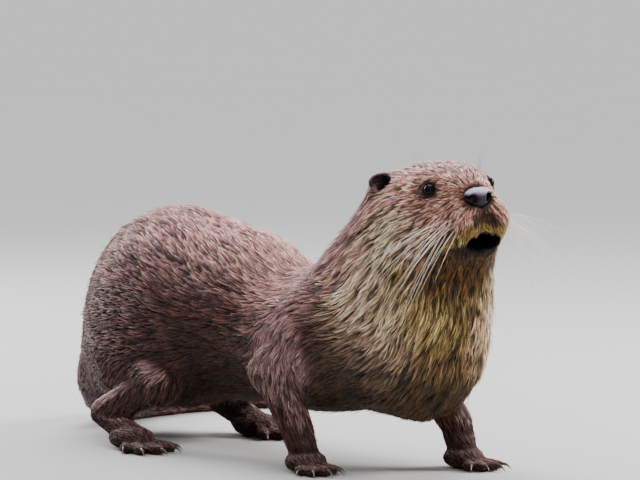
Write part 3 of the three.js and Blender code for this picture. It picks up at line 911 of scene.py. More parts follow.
def bare_share(points):
    """1 where hair grows, and 0 in the mouth, under the nose pad, behind the eyes and in the ears."""
    head = to_head(points)
    edge = np.where(head[:, 2] < MOUTH[2], 0.9, 1.0)
    share = np.where((head[:, 0] > -6) & (gape_of(head) < edge), 0.0, 1.0)
    share *= np.linalg.norm((head - NOSE) / NOSE_PAD, axis=1) > 1.0
    for name in SIDES:
        share *= distance_to(head, EYES[name]) > EYE_RADIUS + 1.2
        share *= cup_of(head, name) > 1.0
    return share


def laid_paths(coat, length, lift):
    """The tufts' paths along the skin. Neighbours lean together in waves, and each a little on its own."""
    count = len(coat.roots)
    lean = LEAN * ripple(coat.roots, LEAN_WAVE, 22) + coat.random.normal(0, OWN_LEAN, count)
    lean += LEAN * coat.front * ripple(coat.roots, FRONT_WAVE, 23)
    here, flow = coat.roots, unit(coat.lie + np.cross(coat.normals, coat.lie) * lean[:, None])
    paths = np.empty((count, len(STATIONS), 3))
    paths[:, 0] = coat.roots - coat.normals * ROOT_DEPTH
    for i in range(1, len(STATIONS)):
        here, lie, normal = coat.walk(here, flow, length * (STATIONS[i] - STATIONS[i - 1]))
        flow = unit(lie + np.cross(normal, lie) * lean[:, None] * (1 - STATIONS[i] * 0.6))
        paths[:, i] = here + normal * (lift * RISE[i])[:, None]
    return paths


def locks(coat):
    """For each hair the middle hair of its lock, and how far to the side of that hair it grows."""
    count = len(coat.roots)
    leaders = np.nonzero(coat.random.random(count) < 1 / coat.values["lock"])[0]
    tree = tree_of_points(coat.roots, leaders)
    near = np.array([[found[1] for found in tree.find_n(root, NEAR_LEADERS)] for root in coat.roots])
    gaps = coat.roots[:, None] - coat.roots[near]
    along = (gaps * coat.lie[:, None]).sum(2)
    aside = np.linalg.norm(gaps - along[..., None] * coat.lie[:, None], axis=2)
    best = np.argmin((along * LOCK_STRETCH) ** 2 + aside**2, axis=1)
    rows = np.arange(count)
    return near[rows, best], aside[rows, best]


def draw_into_locks(coat, paths, length, lift, damp):
    """Damp tufts drawn towards the middle one of their lock, which stands highest. Returns that one for
    each tuft, and how far out in its lock the tuft is: 1 at the lock's radius."""
    leader, aside = locks(coat)
    hair_area = length * coat.values["width"] * coat.size * MM / (2 * coat.values["layers"])
    radius = np.sqrt(coat.values["lock"] * hair_area / math.pi)
    edge = np.clip(aside / (radius * LOCK_NARROW), 0, LOCK_EDGE)
    pull = damp * ease(edge, LOCK_EDGE, 0.8)
    for station, share in PULLS:
        gap = paths[leader, station] - paths[:, station]
        gap -= coat.normals * (gap * coat.normals).sum(1)[:, None]
        far = np.linalg.norm(gap, axis=1)
        gap *= np.minimum(1, length * MOST_PULL / np.maximum(far, 1e-9))[:, None]
        sunk = coat.normals * (edge * lift * EDGE_SINK)[:, None]
        paths[:, station] += gap * (pull * share)[:, None] - sunk
    paths[:, :, 2] = np.maximum(paths[:, :, 2], FLOOR_GAP)
    return leader, edge


def tuft_colours(coat, lift, leader, edge):
    """The markings with a tone for each lock and tuft, with painted shade in the gaps between locks and on
    low-lying tufts, and even on the back and nape.
    """
    random, values = coat.random, coat.values
    colour = markings(coat.roots, coat.normals, coat.shares)
    smooth = coat.shares[:, REGIONS.index("trunk")] * ease(coat.normals[:, 2], 0.3, 0.9)
    lock_tone = 0.28 + 0.14 * coat.front - 0.12 * smooth
    lock_tone = lock_tone * random.normal(size=len(leader))[leader]
    tone = random.normal(*OWN_TONE, len(leader)) + lock_tone
    smooth += 0.6 * coat.front * ease(coat.normals @ NAPE, 0.2, 0.8)
    smooth += 0.35 * ease(yellowness(colour), 0.45, 0.7)
    # Tufts at the edges of locks darker, as painted shade in the gaps between locks.
    tone += values["gap"] * (1 - 0.75 * np.minimum(smooth, 1)) * (0.6 - edge)
    # Tufts that lie lower darker, as painted shade under the ones above.
    tone += 0.3 * (np.minimum(lift / (values["lift"] * coat.size * MM), 1.5) - 1)
    return colour * np.exp(np.maximum(tone, DARKEST))[:, None]


def grow_coat(looks):
    """All tufts, with their paths, widths and colours."""
    coat = Coat(made["skin"], made["surface"], made["shares"], made["lie"], looks.fullness)
    random, values, size = coat.random, coat.values, coat.size
    count = len(coat.roots)
    length = values["length"] * size * random.uniform(*LENGTH_RANGE, count) * looks.hair_length * MM
    lift = values["lift"] * size * random.uniform(*LIFT_RANGE, count) * MM
    lift *= 1 + 0.28 * ripple(coat.roots, 14 * MM, 21)
    strays = random.random(count) < STRAY_SHARE
    length *= np.where(strays, STRAY_LENGTH, 1.0)
    lift *= np.where(strays, STRAY_LIFT, 1.0)
    paths = laid_paths(coat, length, lift)
    leader, edge = draw_into_locks(coat, paths, length, lift, looks.damp)
    width = values["width"] * size * random.uniform(*WIDTH_RANGE, count) * MM
    width *= np.where(strays, STRAY_WIDTH, 1.0)
    return coat, paths, width[:, None] * RING_WIDTHS, tuft_colours(coat, lift, leader, edge)


def yellowness(colours):
    """0 for grey and pink, and more for yellower colours."""
    green, blue = colours[:, 1], colours[:, 2]
    return (green - blue) / np.maximum(green, 1e-6)


def sheen_on_tips(colours):
    """A painted sheen on the tips of brown hairs, which turns them paler and cooler. Yellow hairs stay as
    they are.
    """
    cool = ease(yellowness(colours), 0.36, 0.18)
    grey = colours.mean(axis=1)[:, None] * SHEEN_TINT
    return mix(colours, grey, 0.45 * cool)


def build_coat():
    """The coat as joined tufts, in pieces small enough to stay whole."""
    coat, paths, widths, tones = grow_coat(bpy.context.scene.otter_looks)
    places = places_on_map(coat.roots)
    materials = coat_materials()
    region = np.argmax(coat.shares, axis=1)
    left = coat.roots @ HEAD_LEFT
    for number, name in enumerate(REGIONS):
        kept = [0, 1, 2, 3] if name in LONG else [0, 1, 3]
        rings = len(kept) - 2
        most = MOST_TRIANGLES // (TRIANGLES_PER_RING * rings)
        # Painted shade towards the root and a painted highlight at the tip.
        shade = np.array([ROOT_SHADE, *np.repeat(RING_SHADES[rings], 3), TIP_HIGHLIGHT])
        members = np.nonzero(region == number)[0]
        members = members[np.argsort(left[members])]
        for batch, chosen in enumerate(np.array_split(members, -(-len(members) // most)), 1):
            wide = widths[chosen][:, :rings]
            path, up = paths[chosen][:, kept], coat.normals[chosen]
            mesh, corners = bundle_mesh(f"coat_{name}_{batch}", path, wide, wide * FLATNESS, up)
            map_bundle(mesh, corners, places[chosen], rings)
            colours = tones[chosen][:, None] * shade[None, :, None]
            # Brown hairs away from the face get a painted sheen on their tips.
            if name != "head":
                colours[:, -1] = sheen_on_tips(colours[:, -1])
            paint(mesh, "markings", colours.reshape(-1, 3))
            add_piece(mesh, materials[COAT_SLOTS[name]], COAT_SLOTS[name])


# ---------------------------------------------------------------- materials

LILAC = (0.94, 0.86, 1.0, 1.0)
COLOUR, NUMBER = "NodeSocketColor", "NodeSocketFloat"
BROAD_SCALE = 0.13  # of the broad mottling, as a share of the fine one's


def graph_node(tree, kind, inputs=None, **settings):
    """One node of a material or a group. An input is given by name or number, as a value or a socket."""
    node = tree.nodes.new(kind)
    for key, value in settings.items():
        setattr(node, key, value)
    for key, value in (inputs or {}).items():
        if isinstance(value, bpy.types.NodeSocket):
            tree.links.new(value, node.inputs[key])
        else:
            node.inputs[key].default_value = value
    return node


def noise(tree, vector, scale):
    inputs = {"Vector": vector, "Scale": scale, "Detail": 4.0}
    return graph_node(tree, "ShaderNodeTexNoise", inputs).outputs["Fac"]


def arithmetic(tree, operation, first, second):
    return graph_node(tree, "ShaderNodeMath", {0: first, 1: second}, operation=operation).outputs[0]


def new_group(name, inputs, outputs):
    """An empty node group with named sockets. Returns its tree, and its input and output nodes."""
    tree = bpy.data.node_groups.new(name, "ShaderNodeTree")
    for label, (kind, default) in inputs.items():
        socket = tree.interface.new_socket(label, in_out="INPUT", socket_type=kind)
        socket.default_value = default
    for label, kind in outputs.items():
        tree.interface.new_socket(label, in_out="OUTPUT", socket_type=kind)
    return tree, tree.nodes.new("NodeGroupInput"), tree.nodes.new("NodeGroupOutput")


def uneven_group():
    """Uneven tone: a colour mottled at two sizes, with a height for bumps and a roughness to match."""
    name = "Uneven tone"
    if name in bpy.data.node_groups:
        return bpy.data.node_groups[name]
    inputs = {
        "Colour": (COLOUR, (0.5, 0.5, 0.5, 1.0)),
        "Scale": (NUMBER, 200.0),
        "Contrast": (NUMBER, 0.3),
        "Roughness": (NUMBER, 0.5),
    }
    outputs = {"Colour": COLOUR, "Roughness": NUMBER, "Height": NUMBER}
    tree, given, result = new_group(name, inputs, outputs)
    where = graph_node(tree, "ShaderNodeTexCoord").outputs["Object"]
    fine = noise(tree, where, given.outputs["Scale"])
    broad = noise(tree, where, arithmetic(tree, "MULTIPLY", given.outputs["Scale"], BROAD_SCALE))
    away = arithmetic(tree, "SUBTRACT", arithmetic(tree, "ADD", fine, broad), 1.0)
    strength = arithmetic(tree, "MULTIPLY", given.outputs["Contrast"], 2.0)
    amount = arithmetic(tree, "ADD", arithmetic(tree, "MULTIPLY", away, strength), 1.0)
    rough = arithmetic(tree, "ADD", arithmetic(tree, "MULTIPLY", away, 0.3), given.outputs["Roughness"])
    scaled = {0: given.outputs["Colour"], "Scale": amount}
    colour = graph_node(tree, "ShaderNodeVectorMath", scaled, operation="SCALE").outputs[0]
    for label, socket in (("Colour", colour), ("Roughness", rough), ("Height", fine)):
        tree.links.new(socket, result.inputs[label])
    return tree


def finish(name, colour, scale, contrast, roughness, bump_size=0.0, **shader):
    """A material with an uneven tone. Colour is a colour or an attribute's name. Shader holds constants."""
    material = bpy.data.materials.new(name)
    material.use_nodes = True
    tree = material.node_tree
    tree.nodes.clear()
    if isinstance(colour, str):
        source = graph_node(tree, "ShaderNodeAttribute", attribute_name=colour).outputs["Color"]
    else:
        source = (*colour, 1.0)
    inputs = {"Colour": source, "Scale": scale, "Contrast": contrast, "Roughness": roughness}
    uneven = graph_node(tree, "ShaderNodeGroup", inputs, node_tree=uneven_group())
    surface = {"Base Color": uneven.outputs["Colour"], "Roughness": uneven.outputs["Roughness"]}
    if bump_size > 0:
        relief = {"Height": uneven.outputs["Height"], "Distance": bump_size, "Strength": 1.0}
        surface["Normal"] = graph_node(tree, "ShaderNodeBump", relief).outputs["Normal"]
    for key, value in shader.items():
        surface[key.replace("_", " ").title().replace("Ior", "IOR")] = value
    principled = graph_node(tree, "ShaderNodeBsdfPrincipled", surface)
    graph_node(tree, "ShaderNodeOutputMaterial", {"Surface": principled.outputs[0]})
    return material


def skin_material():
    return finish("Otter underfur", "markings", scale=900.0, contrast=0.55, roughness=0.8,
                  bump_size=0.4 * MM, specular_ior_level=0.1)


def coat_materials():
    """Guard hair for the face, throat and paws, and for the body, which shines more where seen aslant."""
    hair = dict(scale=500.0, contrast=0.25, roughness=0.46, specular_ior_level=0.22, sheen_tint=LILAC)
    front = finish("Otter face hair", "markings", sheen_weight=0.04, sheen_roughness=0.4, **hair)
    body = finish("Otter guard hair", "markings", sheen_weight=0.09, sheen_roughness=0.3, **hair)
    return {"fur_face": front, "fur_throat": front, "fur_body": body, "fur_paw": front}


# ---------------------------------------------------------------- eyes and lids

EYE_DARK = (0.005, 0.004, 0.003)
IRIS = (0.011, 0.006, 0.004)
PUPIL = (0.003, 0.002, 0.002)
IRIS_ENDS = (25, 22), (40, 47)  # degrees from the gaze over which the iris darkens, inside and outside
CORNEA = 0.55 * MM  # by which the clear bulge stands out
LID_ANGLE = 61  # degrees from the gaze to the rim of the lids
LID_ROUND = 0.95  # the rim's radius
LID_CORNER = 15  # degrees by which the rim runs out at its inner corner
LID_TONE = (0.01, 0.006, 0.005)


def turned_to(direction):
    """The turn that takes straight up to a direction."""
    return Vector(direction).to_track_quat("Z", "Y").to_matrix().to_4x4()


def eye_mesh(side):
    """An eyeball with a clear bulge over the iris, as one closed ball."""
    look = gaze(side) @ HEAD_AXES
    bm = bmesh.new()
    bmesh.ops.create_uvsphere(bm, u_segments=64, v_segments=48, radius=EYE_RADIUS * MM)
    bmesh.ops.transform(bm, matrix=turned_to(look), verts=bm.verts)
    mesh = mesh_from(bm, f"eye_ball_{side}")
    points = coordinates(mesh)
    ways = unit(points)
    angle = degrees_between(ways, look)
    points += ways * (CORNEA * ease(angle, 46, 16))[:, None]
    place(mesh, points + middle(f"eye_{side}"))
    iris = mix(EYE_DARK, IRIS, bump(angle, 33, 7))
    beyond = sum(ease(angle, *ends) for ends in IRIS_ENDS)
    paint(mesh, "iris", mix(iris, PUPIL, beyond))
    return mesh


def lid_mesh(side):
    """The dark bare rim of the lids, a ring about the gaze with a pointed corner towards the nose."""
    bm = bmesh.new()
    at = math.radians(LID_ANGLE)
    ring = Vector((math.sin(at), 0, math.cos(at))) * (EYE_RADIUS + 0.25) * MM
    circle = bmesh.ops.create_circle(bm, segments=10, radius=LID_ROUND * MM)["verts"]
    upright = Matrix.Translation(ring) @ Matrix.Rotation(math.pi / 2, 4, "X")
    bmesh.ops.transform(bm, matrix=upright, verts=circle)
    bmesh.ops.spin(bm, geom=bm.verts[:] + bm.edges[:], axis=(0, 0, 1), cent=(0, 0, 0), angle=2 * math.pi,
                   steps=72, use_merge=True)
    bmesh.ops.remove_doubles(bm, verts=bm.verts, dist=0.001 * MM)
    bmesh.ops.recalc_face_normals(bm, faces=bm.faces)
    mesh = mesh_from(bm, f"eye_lids_{side}")
    look = gaze(side)
    inwards = unit(NOSE - EYES[side] - look * ((NOSE - EYES[side]) @ look))
    inwards = unit(inwards + (0.0, 0.0, -0.25))
    above = np.cross(inwards, look) * -SIDES[side]
    points = coordinates(mesh) / MM
    distance = np.linalg.norm(points, axis=1)
    angle = np.degrees(np.arccos(points[:, 2] / distance))
    turn = np.arctan2(points[:, 1], points[:, 0])
    angle += LID_CORNER * np.exp(-((turn / 0.32) ** 2)) - 5 * bump(turn * SIDES[side], 1.5, 0.8)
    angle = np.radians(angle)
    flat = np.cos(turn)[:, None] * inwards + np.sin(turn)[:, None] * above * SIDES[side]
    ways = np.cos(angle)[:, None] * look + np.sin(angle)[:, None] * flat
    place(mesh, from_head(EYES[side] + ways * distance[:, None]))
    return outward(mesh)


def outward(mesh):
    """The mesh with all its faces pointing outwards."""
    bm = bmesh.new()
    bm.from_mesh(mesh)
    bmesh.ops.recalc_face_normals(bm, faces=bm.faces)
    bm.to_mesh(mesh)
    bm.free()
    return mesh


def build_eyes():
    wet = finish("Wet eye", "iris", scale=900.0, contrast=0.2, roughness=0.1, specular_ior_level=0.03,
                 coat_weight=0.08, coat_roughness=0.04)
    rim = finish("Wet lid", LID_TONE, scale=900.0, contrast=0.4, roughness=0.55, bump_size=0.1 * MM,
                 specular_ior_level=0.15)
    for side in SIDES:
        add_piece(eye_mesh(side), wet, "eye", f"eye_{side}")
        add_piece(lid_mesh(side), rim, "nose_skin")


# ---------------------------------------------------------------- nose

PAD_LENGTH, PAD_WIDTH, PAD_RISE, PAD_FALL = 7.6, 13.3, 8.0, 9.4  # from its middle to each end
PAD_SHIFT = (-0.5, 0.0, 0.3)
NOSTRIL, NOSTRIL_RADII = (0.56, -0.2), (0.27, 0.4)  # to the side and up, on a pad that is 1 in radius
NOSTRIL_DEPTH, SLIT_DEPTH = 6.5, 3.2
# The pad's top painted lighter as a highlight over its dark leather, its sides and nostrils darker as
# painted shade.
PAD_LIT_TOP, PAD_FRONT = (0.38, 0.34, 0.45), (0.02, 0.018, 0.024)
PAD_EDGE_SHADE, NOSTRIL_SHADE = (0.02, 0.017, 0.02), (0.003, 0.002, 0.003)


def nose_mesh():
    """The bare nose pad, with comma-shaped nostrils, a groove and a pointed lower edge."""
    bm = bmesh.new()
    bmesh.ops.create_uvsphere(bm, u_segments=112, v_segments=80, radius=1.0)
    mesh = mesh_from(bm, "nose_pad")
    ahead, left, above = coordinates(mesh).T
    side = np.abs(left)
    x = PAD_LENGTH * np.sign(ahead) * np.abs(ahead) ** 0.8
    y = PAD_WIDTH * left * (1 - 0.5 * ease(-above, 0.15, 1.0)) * (1 - 0.12 * ease(above, 0.3, 1.0))
    z = np.where(above > 0, PAD_RISE, PAD_FALL) * above
    z -= 0.9 * bump(left, 0, 0.3) * ease(above, 0.4, 0.9)
    front = ease(ahead, -0.15, 0.25)
    out = (side - NOSTRIL[0]) / NOSTRIL_RADII[0]
    up = (above - NOSTRIL[1]) / NOSTRIL_RADII[1]
    hollow = np.exp(-((out**2 + up**2) ** 2.2))
    slit_height = above + 0.04 - 0.25 * (side - 0.84)
    slit = np.exp(-((((side - 0.86) / 0.24) ** 2 + (slit_height / 0.16) ** 2) ** 1.5))
    rim = bump(np.hypot(out, up), 1.4, 0.25)
    x += front * (0.5 * rim * ease(above, -0.5, 0.2) - NOSTRIL_DEPTH * hollow) - SLIT_DEPTH * slit
    x -= front * 0.8 * bump(left, 0, 0.05) * ease(-above, 0.0, 0.5)
    x += 1.2 * front * bump(left, 0, 0.4) * bump(above, 0.1, 0.5)
    place(mesh, from_head(np.stack([x, y, z], axis=1) + NOSE + PAD_SHIFT))
    depth = np.clip(hollow + 0.8 * slit, 0, 1) * front
    # Painted highlight on the top, dark leather lower down, painted shade at the sides and in the nostrils.
    tone = mix(PAD_LIT_TOP, PAD_FRONT, ease(-above, -0.55, 0.3))
    tone = mix(tone, PAD_EDGE_SHADE, ease(side, 0.8, 1.0))
    paint(mesh, "leather", mix(tone, NOSTRIL_SHADE, ease(depth, 0.15, 0.5)))
    return mesh


def build_nose():
    leather = finish("Nose leather", "leather", scale=1500.0, contrast=0.3, roughness=0.45,
                     bump_size=0.25 * MM, specular_ior_level=0.2)
    add_piece(nose_mesh(), leather, "nose_skin", "nose")


# ---------------------------------------------------------------- whiskers

WHISKER_ROWS = WHISKER_COLUMNS = 5
WHISKER_SIDES = 5
FINE_HAIR = 0.4 * MM
PALE_HAIR = (0.8, 0.76, 0.66)
DARK_HAIR = (0.05, 0.03, 0.025)
# Root and way of each hair over the eye and behind the cheek, in the head's frame.
BROW_HAIRS = [((-4, 0, 12), (0.1, 0.35, 1.0)), ((-7, 0, 13), (-0.25, 0.45, 1.0))]
CHEEK_HAIRS = [((-28, 0, -22), (-0.6, 1.0, -0.5)), ((-31, 0, -26), (-0.7, 1.0, -0.8))]


def whiskers_of(looks, random):
    """For each hair of one side: root and way in the head's frame, length, thickness, droop and colour."""
    hairs = []
    for row in range(WHISKER_ROWS):
        for column in range(WHISKER_COLUMNS):
            if row + column > 7:
                continue
            root = (25 - 6.2 * column, 0, -28.0 - 3.1 * row - 0.3 * column)
            way = np.array((-0.1 - 0.16 * column, 0.8, -0.3 - 0.17 * row)) + random.normal(0, 0.11, 3)
            length = looks.whisker_length * (0.6 + 0.12 * column) * random.uniform(0.75, 1.2)
            thickness = random.uniform(0.32, 0.56) * MM
            hairs.append((root, way, length, thickness, random.uniform(0.15, 0.5), PALE_HAIR))
    for root, way in BROW_HAIRS:
        hairs.append((root, way, 19 * MM * random.uniform(0.8, 1.1), FINE_HAIR, -0.2, DARK_HAIR))
    for root, way in CHEEK_HAIRS:
        hairs.append((root, way, 24 * MM, FINE_HAIR, 0.3, PALE_HAIR))
    return hairs


def skin_spot(tree, root, side):
    """Where the skin lies straight out to the side of a place in the head, with its normal."""
    ahead, _, above = root
    way = unit(HEAD_AXES[0] * 0.35 + HEAD_AXES[1] * SIDES[side])
    point, normal, _, _ = tree.ray_cast(from_head([ahead - 7, 0, above]).tolist(), way.tolist())
    return np.array(point), np.array(normal)


def build_whiskers():
    looks = bpy.context.scene.otter_looks
    random = np.random.default_rng(5)
    tree = tree_of_faces(made["skin"].data)
    horn = finish("Whisker horn", "hair", scale=700.0, contrast=0.15, roughness=0.35)
    stations = np.linspace(0, 1, 9)
    taper = (1.02 - stations[1:-1]) ** 0.6
    for side, sign in SIDES.items():
        paths, widths, tones = [], [], []
        bend = unit(np.array([-0.5, sign * 0.1, -0.9]) @ HEAD_AXES)
        for root, way, length, thickness, droop, tone in whiskers_of(looks, random):
            start, normal = skin_spot(tree, root, side)
            way = unit((np.array(way) * (1, sign, 1)) @ HEAD_AXES + normal * 0.4)
            path = start - normal * 0.8 * MM + way * (stations * length)[:, None]
            paths.append(path + bend * (droop * stations**2 * length)[:, None])
            widths.append(thickness * taper)
            tones.append(tone)
        widths = np.array(widths)
        up = np.tile(HEAD_AXES[2], (len(paths), 1))
        mesh, _ = bundle_mesh(f"whiskers_{side}", np.array(paths), widths, widths, up, WHISKER_SIDES)
        paint(mesh, "hair", np.repeat(tones, len(mesh.vertices) // len(paths), axis=0))
        add_piece(mesh, horn, "fur_face")


# ---------------------------------------------------------------- claws

CLAW_BACK, CLAW_REACH = 5.0, 3.6  # from the middle of a claw's box to its root and its tip
CLAW_SINK, CLAW_LIFT = 2.0, 0.7  # from the top of the box down to its root, and from its foot to the tip
CLAW_THICK, CLAW_TIP = 1.75, 0.3  # radii
CLAW_ARCH = 1.5
CLAW_DARK, CLAW_PALE = (0.06, 0.035, 0.025), (0.16, 0.11, 0.075)


def claw_ends(node, paw):
    """Where a claw leaves its toe, and its tip just above the floor."""
    low, high = box_of(node)
    centre = (low + high) / 2
    way = centre - paw
    way[2] = 0
    way = unit(way)
    root = centre - way * CLAW_BACK * MM
    tip = centre + way * CLAW_REACH * MM
    root[2], tip[2] = high[2] - CLAW_SINK * MM, low[2] + CLAW_LIFT * MM
    return root, tip


def claw_mesh(node, paw):
    """One arched claw, from a cone cut into lengths and bent."""
    root, tip = claw_ends(node, paw)
    span = tip - root
    length = np.linalg.norm(span)
    bm = bmesh.new()
    bmesh.ops.create_cone(bm, cap_ends=True, segments=12, radius1=CLAW_THICK * MM, radius2=CLAW_TIP * MM,
                          depth=length)
    along = [edge for edge in bm.edges if abs(edge.verts[0].co.z - edge.verts[1].co.z) > length / 2]
    bmesh.ops.subdivide_edges(bm, edges=along, cuts=6)
    across = unit(np.cross(span, (0, 0, 1)))
    above = np.cross(across, span / length)
    for vert in bm.verts:
        share = vert.co.z / length + 0.5
        arch = CLAW_ARCH * MM * math.sin(math.pi * share)
        vert.co = Vector(root + span * share + across * vert.co.x * 0.8 + above * (vert.co.y + arch))
    bmesh.ops.recalc_face_normals(bm, faces=bm.faces)
    return mesh_from(bm, node)


def build_claws():
    material = finish("Claw horn", "horn", scale=600.0, contrast=0.3, roughness=0.38, bump_size=0.05 * MM)
    for kind in ("fore", "hind"):
        for side in SIDES:
            nodes = [f"{kind}claw_{side}_{i}" for i in range(1, 6)]
            paw = middle(f"{kind}paw_{side}")
            bm = bmesh.new()
            for node in nodes:
                bm.from_mesh(claw_mesh(node, paw))
            mesh = mesh_from(bm, f"claws_{kind}_{side}")
            roots = [claw_ends(node, paw)[0] for node in nodes]
            from_root = np.min([distance_to(coordinates(mesh), root) for root in roots], axis=0)
            paint(mesh, "horn", mix(CLAW_DARK, CLAW_PALE, ease(from_root, 3 * MM, 10 * MM)))
            add_piece(mesh, material, "claw", *nodes)


# ---------------------------------------------------------------- stage

FLOOR_REACH = 150  # metres
FLOOR_TONE = (0.40, 0.395, 0.39)
ROOM_TONE, ROOM_STRENGTH = (0.93, 0.94, 1.0, 1.0), 0.16
AIM_SHARES = (0.5613, 0.3421, 0.7062)  # what the camera looks at, at shares of the whole box
CAMERA_ANGLES = (-42.57, 4.09)  # round and up, in degrees
CAMERA_DISTANCE = 3.206
FOCAL_LENGTH, SENSOR_WIDTH = 203.4, 36.0
SIGHT = 400.0  # how far the camera sees, past the far edge of the floor
LIGHTS = [
    # name, kind, way from the aim, size in metres or degrees, power, colour
    ("light_above", "SUN", (-0.48, 0.48, 1.85), 50, 4.6, (0.97, 0.95, 1.0)),
    ("light_sky", "SUN", (0.5, -0.8, 1.6), 80, 1.6, (0.95, 0.96, 1.0)),
    ("light_rump", "AREA", (-2.0, -0.1, 0.9), 1.3, 75.0, (1.0, 0.93, 0.94)),
    ("light_chest", "AREA", (0.9, 1.7, 0.9), 1.0, 110.0, (1.0, 0.97, 0.94)),
    ("light_front", "AREA", (1.7, -1.3, 0.7), 1.2, 11.0, (1.0, 0.95, 0.88)),
]


def aimed(name, data, aim, way):
    """A light or camera that stands off the aim by a way and looks back at it."""
    item = put_in_scene(name, data)
    item.location = aim + np.array(way)
    item.rotation_euler = Vector(way).to_track_quat("Z", "Y").to_euler()
    return item


def build_stage():
    """A plain pale floor, soft studio light and the camera."""
    bm = bmesh.new()
    bmesh.ops.create_grid(bm, x_segments=1, y_segments=1, size=FLOOR_REACH)
    floor = put_in_scene("stage_floor", mesh_from(bm, "stage_floor"))
    pale = finish("Pale floor", FLOOR_TONE, scale=4.0, contrast=0.02, roughness=0.85)
    floor.data.materials.append(pale)

    world = bpy.data.worlds.new("Pale room")
    world.use_nodes = True
    air = world.node_tree.nodes["Background"].inputs
    air["Color"].default_value, air["Strength"].default_value = ROOM_TONE, ROOM_STRENGTH
    bpy.context.scene.world = world

    low, high = (np.array(corner) for corner in CAD_BOX)
    aim = low + (high - low) * AIM_SHARES
    for name, kind, way, size, power, colour in LIGHTS:
        lamp = bpy.data.lights.new(name, kind)
        lamp.energy, lamp.color = power, colour
        if kind == "SUN":
            lamp.angle = math.radians(size)
        else:
            lamp.shape, lamp.size = "DISK", size
        aimed(name, lamp, aim, way)

    lens = bpy.data.cameras.new("camera")
    lens.lens, lens.sensor_width, lens.clip_end = FOCAL_LENGTH, SENSOR_WIDTH, SIGHT
    azimuth, elevation = (math.radians(angle) for angle in CAMERA_ANGLES)
    level = math.cos(elevation)
    way = np.array([math.cos(azimuth) * level, math.sin(azimuth) * level, math.sin(elevation)])
    bpy.context.scene.camera = aimed("camera", lens, aim, way * CAMERA_DISTANCE)


# ---------------------------------------------------------------- the add-on


def everyday(red, green, blue):
    """A linear colour from everyday values of 0 to 255."""
    return tuple(((value / 255 + 0.055) / 1.055) ** 2.4 for value in (red, green, blue))


def colour_setting(name, description, *values):
    return FloatVectorProperty(name=name, description=description, subtype="COLOR", size=3, min=0, max=1,
                               default=everyday(*values))


def share_setting(name, description, normal, least, most):
    return FloatProperty(name=name, description=description, subtype="FACTOR", default=normal, min=least,
                         max=most)


class OtterLooks(bpy.types.PropertyGroup):
    """Sizes and colours that a user would change."""

    hair_length: share_setting("Hair length", "Length of the guard hair, 1 being normal", 1.0, 0.2, 1.5)
    fullness: share_setting("Fullness", "How many tufts cover the skin, 1 being normal", 1.0, 0.1, 1.5)
    damp: share_setting("Dampness", "How far the hair draws together in locks", 0.85, 0.0, 1.0)
    whisker_length: FloatProperty(name="Whisker length", description="Length of the longest whiskers",
                                  default=0.075, min=0.01, max=0.1, subtype="DISTANCE", unit="LENGTH")
    # The back's colour holds painted sky light on the upper body; the colour under the body is painted
    # shade.
    back: colour_setting("Back", "Colour of the upper body", 168, 126, 117)
    flank: colour_setting("Flank", "Colour of the sides and legs", 76, 45, 36)
    belly_shade: colour_setting("Belly", "Colour under the body", 52, 32, 20)
    throat: colour_setting("Throat and cheeks", "Colour of the pale front of the neck", 212, 183, 149)
    # Olive-brown painted shadow under the chin and along the throat's middle.
    chin_shadow: colour_setting("Under the chin", "Colour of the middle of the throat", 98, 78, 36)
    cream: colour_setting("Bib", "Colour of the patch on the chest", 184, 158, 102)
    # The chest's brown, with painted shade in it where the chest faces down.
    chest: colour_setting("Chest", "Colour of the chest between the forelegs", 74, 57, 33)
    face: colour_setting("Face", "Colour of the sides of the muzzle", 208, 147, 128)
    forehead: colour_setting("Forehead", "Colour of the forehead and crown", 204, 150, 152)
    rust: colour_setting("Rust", "Colour of the brows and the top of the muzzle", 206, 138, 108)
    chin: colour_setting("Chin", "Colour of the chin and lower jaw", 90, 63, 26)
    dark: colour_setting("Dark marks", "Colour round the eyes and in the ears", 45, 32, 28)
    lip: colour_setting("Upper lip", "Colour of the edge of the upper lip", 166, 136, 78)


class OTTER_OT_skin(bpy.types.Operator):
    """Make one skin over the flesh solids"""

    bl_idname = "otter.skin"
    bl_label = "Skin"

    def execute(self, context):
        build_skin()
        return {"FINISHED"}


class OTTER_OT_coat(bpy.types.Operator):
    """Grow the coat of tufts over the skin"""

    bl_idname = "otter.coat"
    bl_label = "Coat"

    def execute(self, context):
        build_coat()
        return {"FINISHED"}


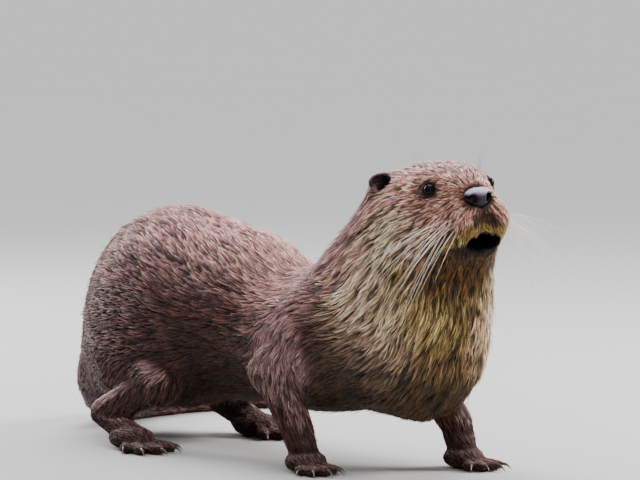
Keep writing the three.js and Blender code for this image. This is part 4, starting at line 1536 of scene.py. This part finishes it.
class OTTER_OT_eyes(bpy.types.Operator):
    """Make the eyes and their lids"""

    bl_idname = "otter.eyes"
    bl_label = "Eyes and lids"

    def execute(self, context):
        build_eyes()
        return {"FINISHED"}


class OTTER_OT_nose(bpy.types.Operator):
    """Make the bare nose pad"""

    bl_idname = "otter.nose"
    bl_label = "Nose"

    def execute(self, context):
        build_nose()
        return {"FINISHED"}


class OTTER_OT_whiskers(bpy.types.Operator):
    """Grow the whiskers and the brow hairs"""

    bl_idname = "otter.whiskers"
    bl_label = "Whiskers"

    def execute(self, context):
        build_whiskers()
        return {"FINISHED"}


class OTTER_OT_claws(bpy.types.Operator):
    """Make the claws of all four paws"""

    bl_idname = "otter.claws"
    bl_label = "Claws"

    def execute(self, context):
        build_claws()
        return {"FINISHED"}


class OTTER_OT_stage(bpy.types.Operator):
    """Make the floor, the light and the camera"""

    bl_idname = "otter.stage"
    bl_label = "Stage"

    def execute(self, context):
        build_stage()
        return {"FINISHED"}


OPERATORS = [
    OTTER_OT_stage,
    OTTER_OT_skin,
    OTTER_OT_coat,
    OTTER_OT_eyes,
    OTTER_OT_nose,
    OTTER_OT_whiskers,
    OTTER_OT_claws,
]


class OTTER_PT_looks(bpy.types.Panel):
    """Lists what the otter is made of"""

    bl_idname = "OTTER_PT_looks"
    bl_label = "Otter"
    bl_space_type = "VIEW_3D"
    bl_region_type = "UI"
    bl_category = "Otter"

    def draw(self, context):
        for item in OPERATORS:
            self.layout.operator(item.bl_idname)
        for name in OtterLooks.__annotations__:
            self.layout.prop(context.scene.otter_looks, name)


CLASSES = [OtterLooks, *OPERATORS, OTTER_PT_looks]


def register():
    for item in CLASSES:
        bpy.utils.register_class(item)
    bpy.types.Scene.otter_looks = PointerProperty(type=OtterLooks)


def unregister():
    del bpy.types.Scene.otter_looks
    for item in reversed(CLASSES):
        bpy.utils.unregister_class(item)


def main():
    register()
    bpy.ops.otter.stage()
    bpy.ops.otter.skin()
    bpy.ops.otter.coat()
    bpy.ops.otter.eyes()
    bpy.ops.otter.nose()
    bpy.ops.otter.whiskers()
    bpy.ops.otter.claws()


if __name__ == "__main__":
    main()
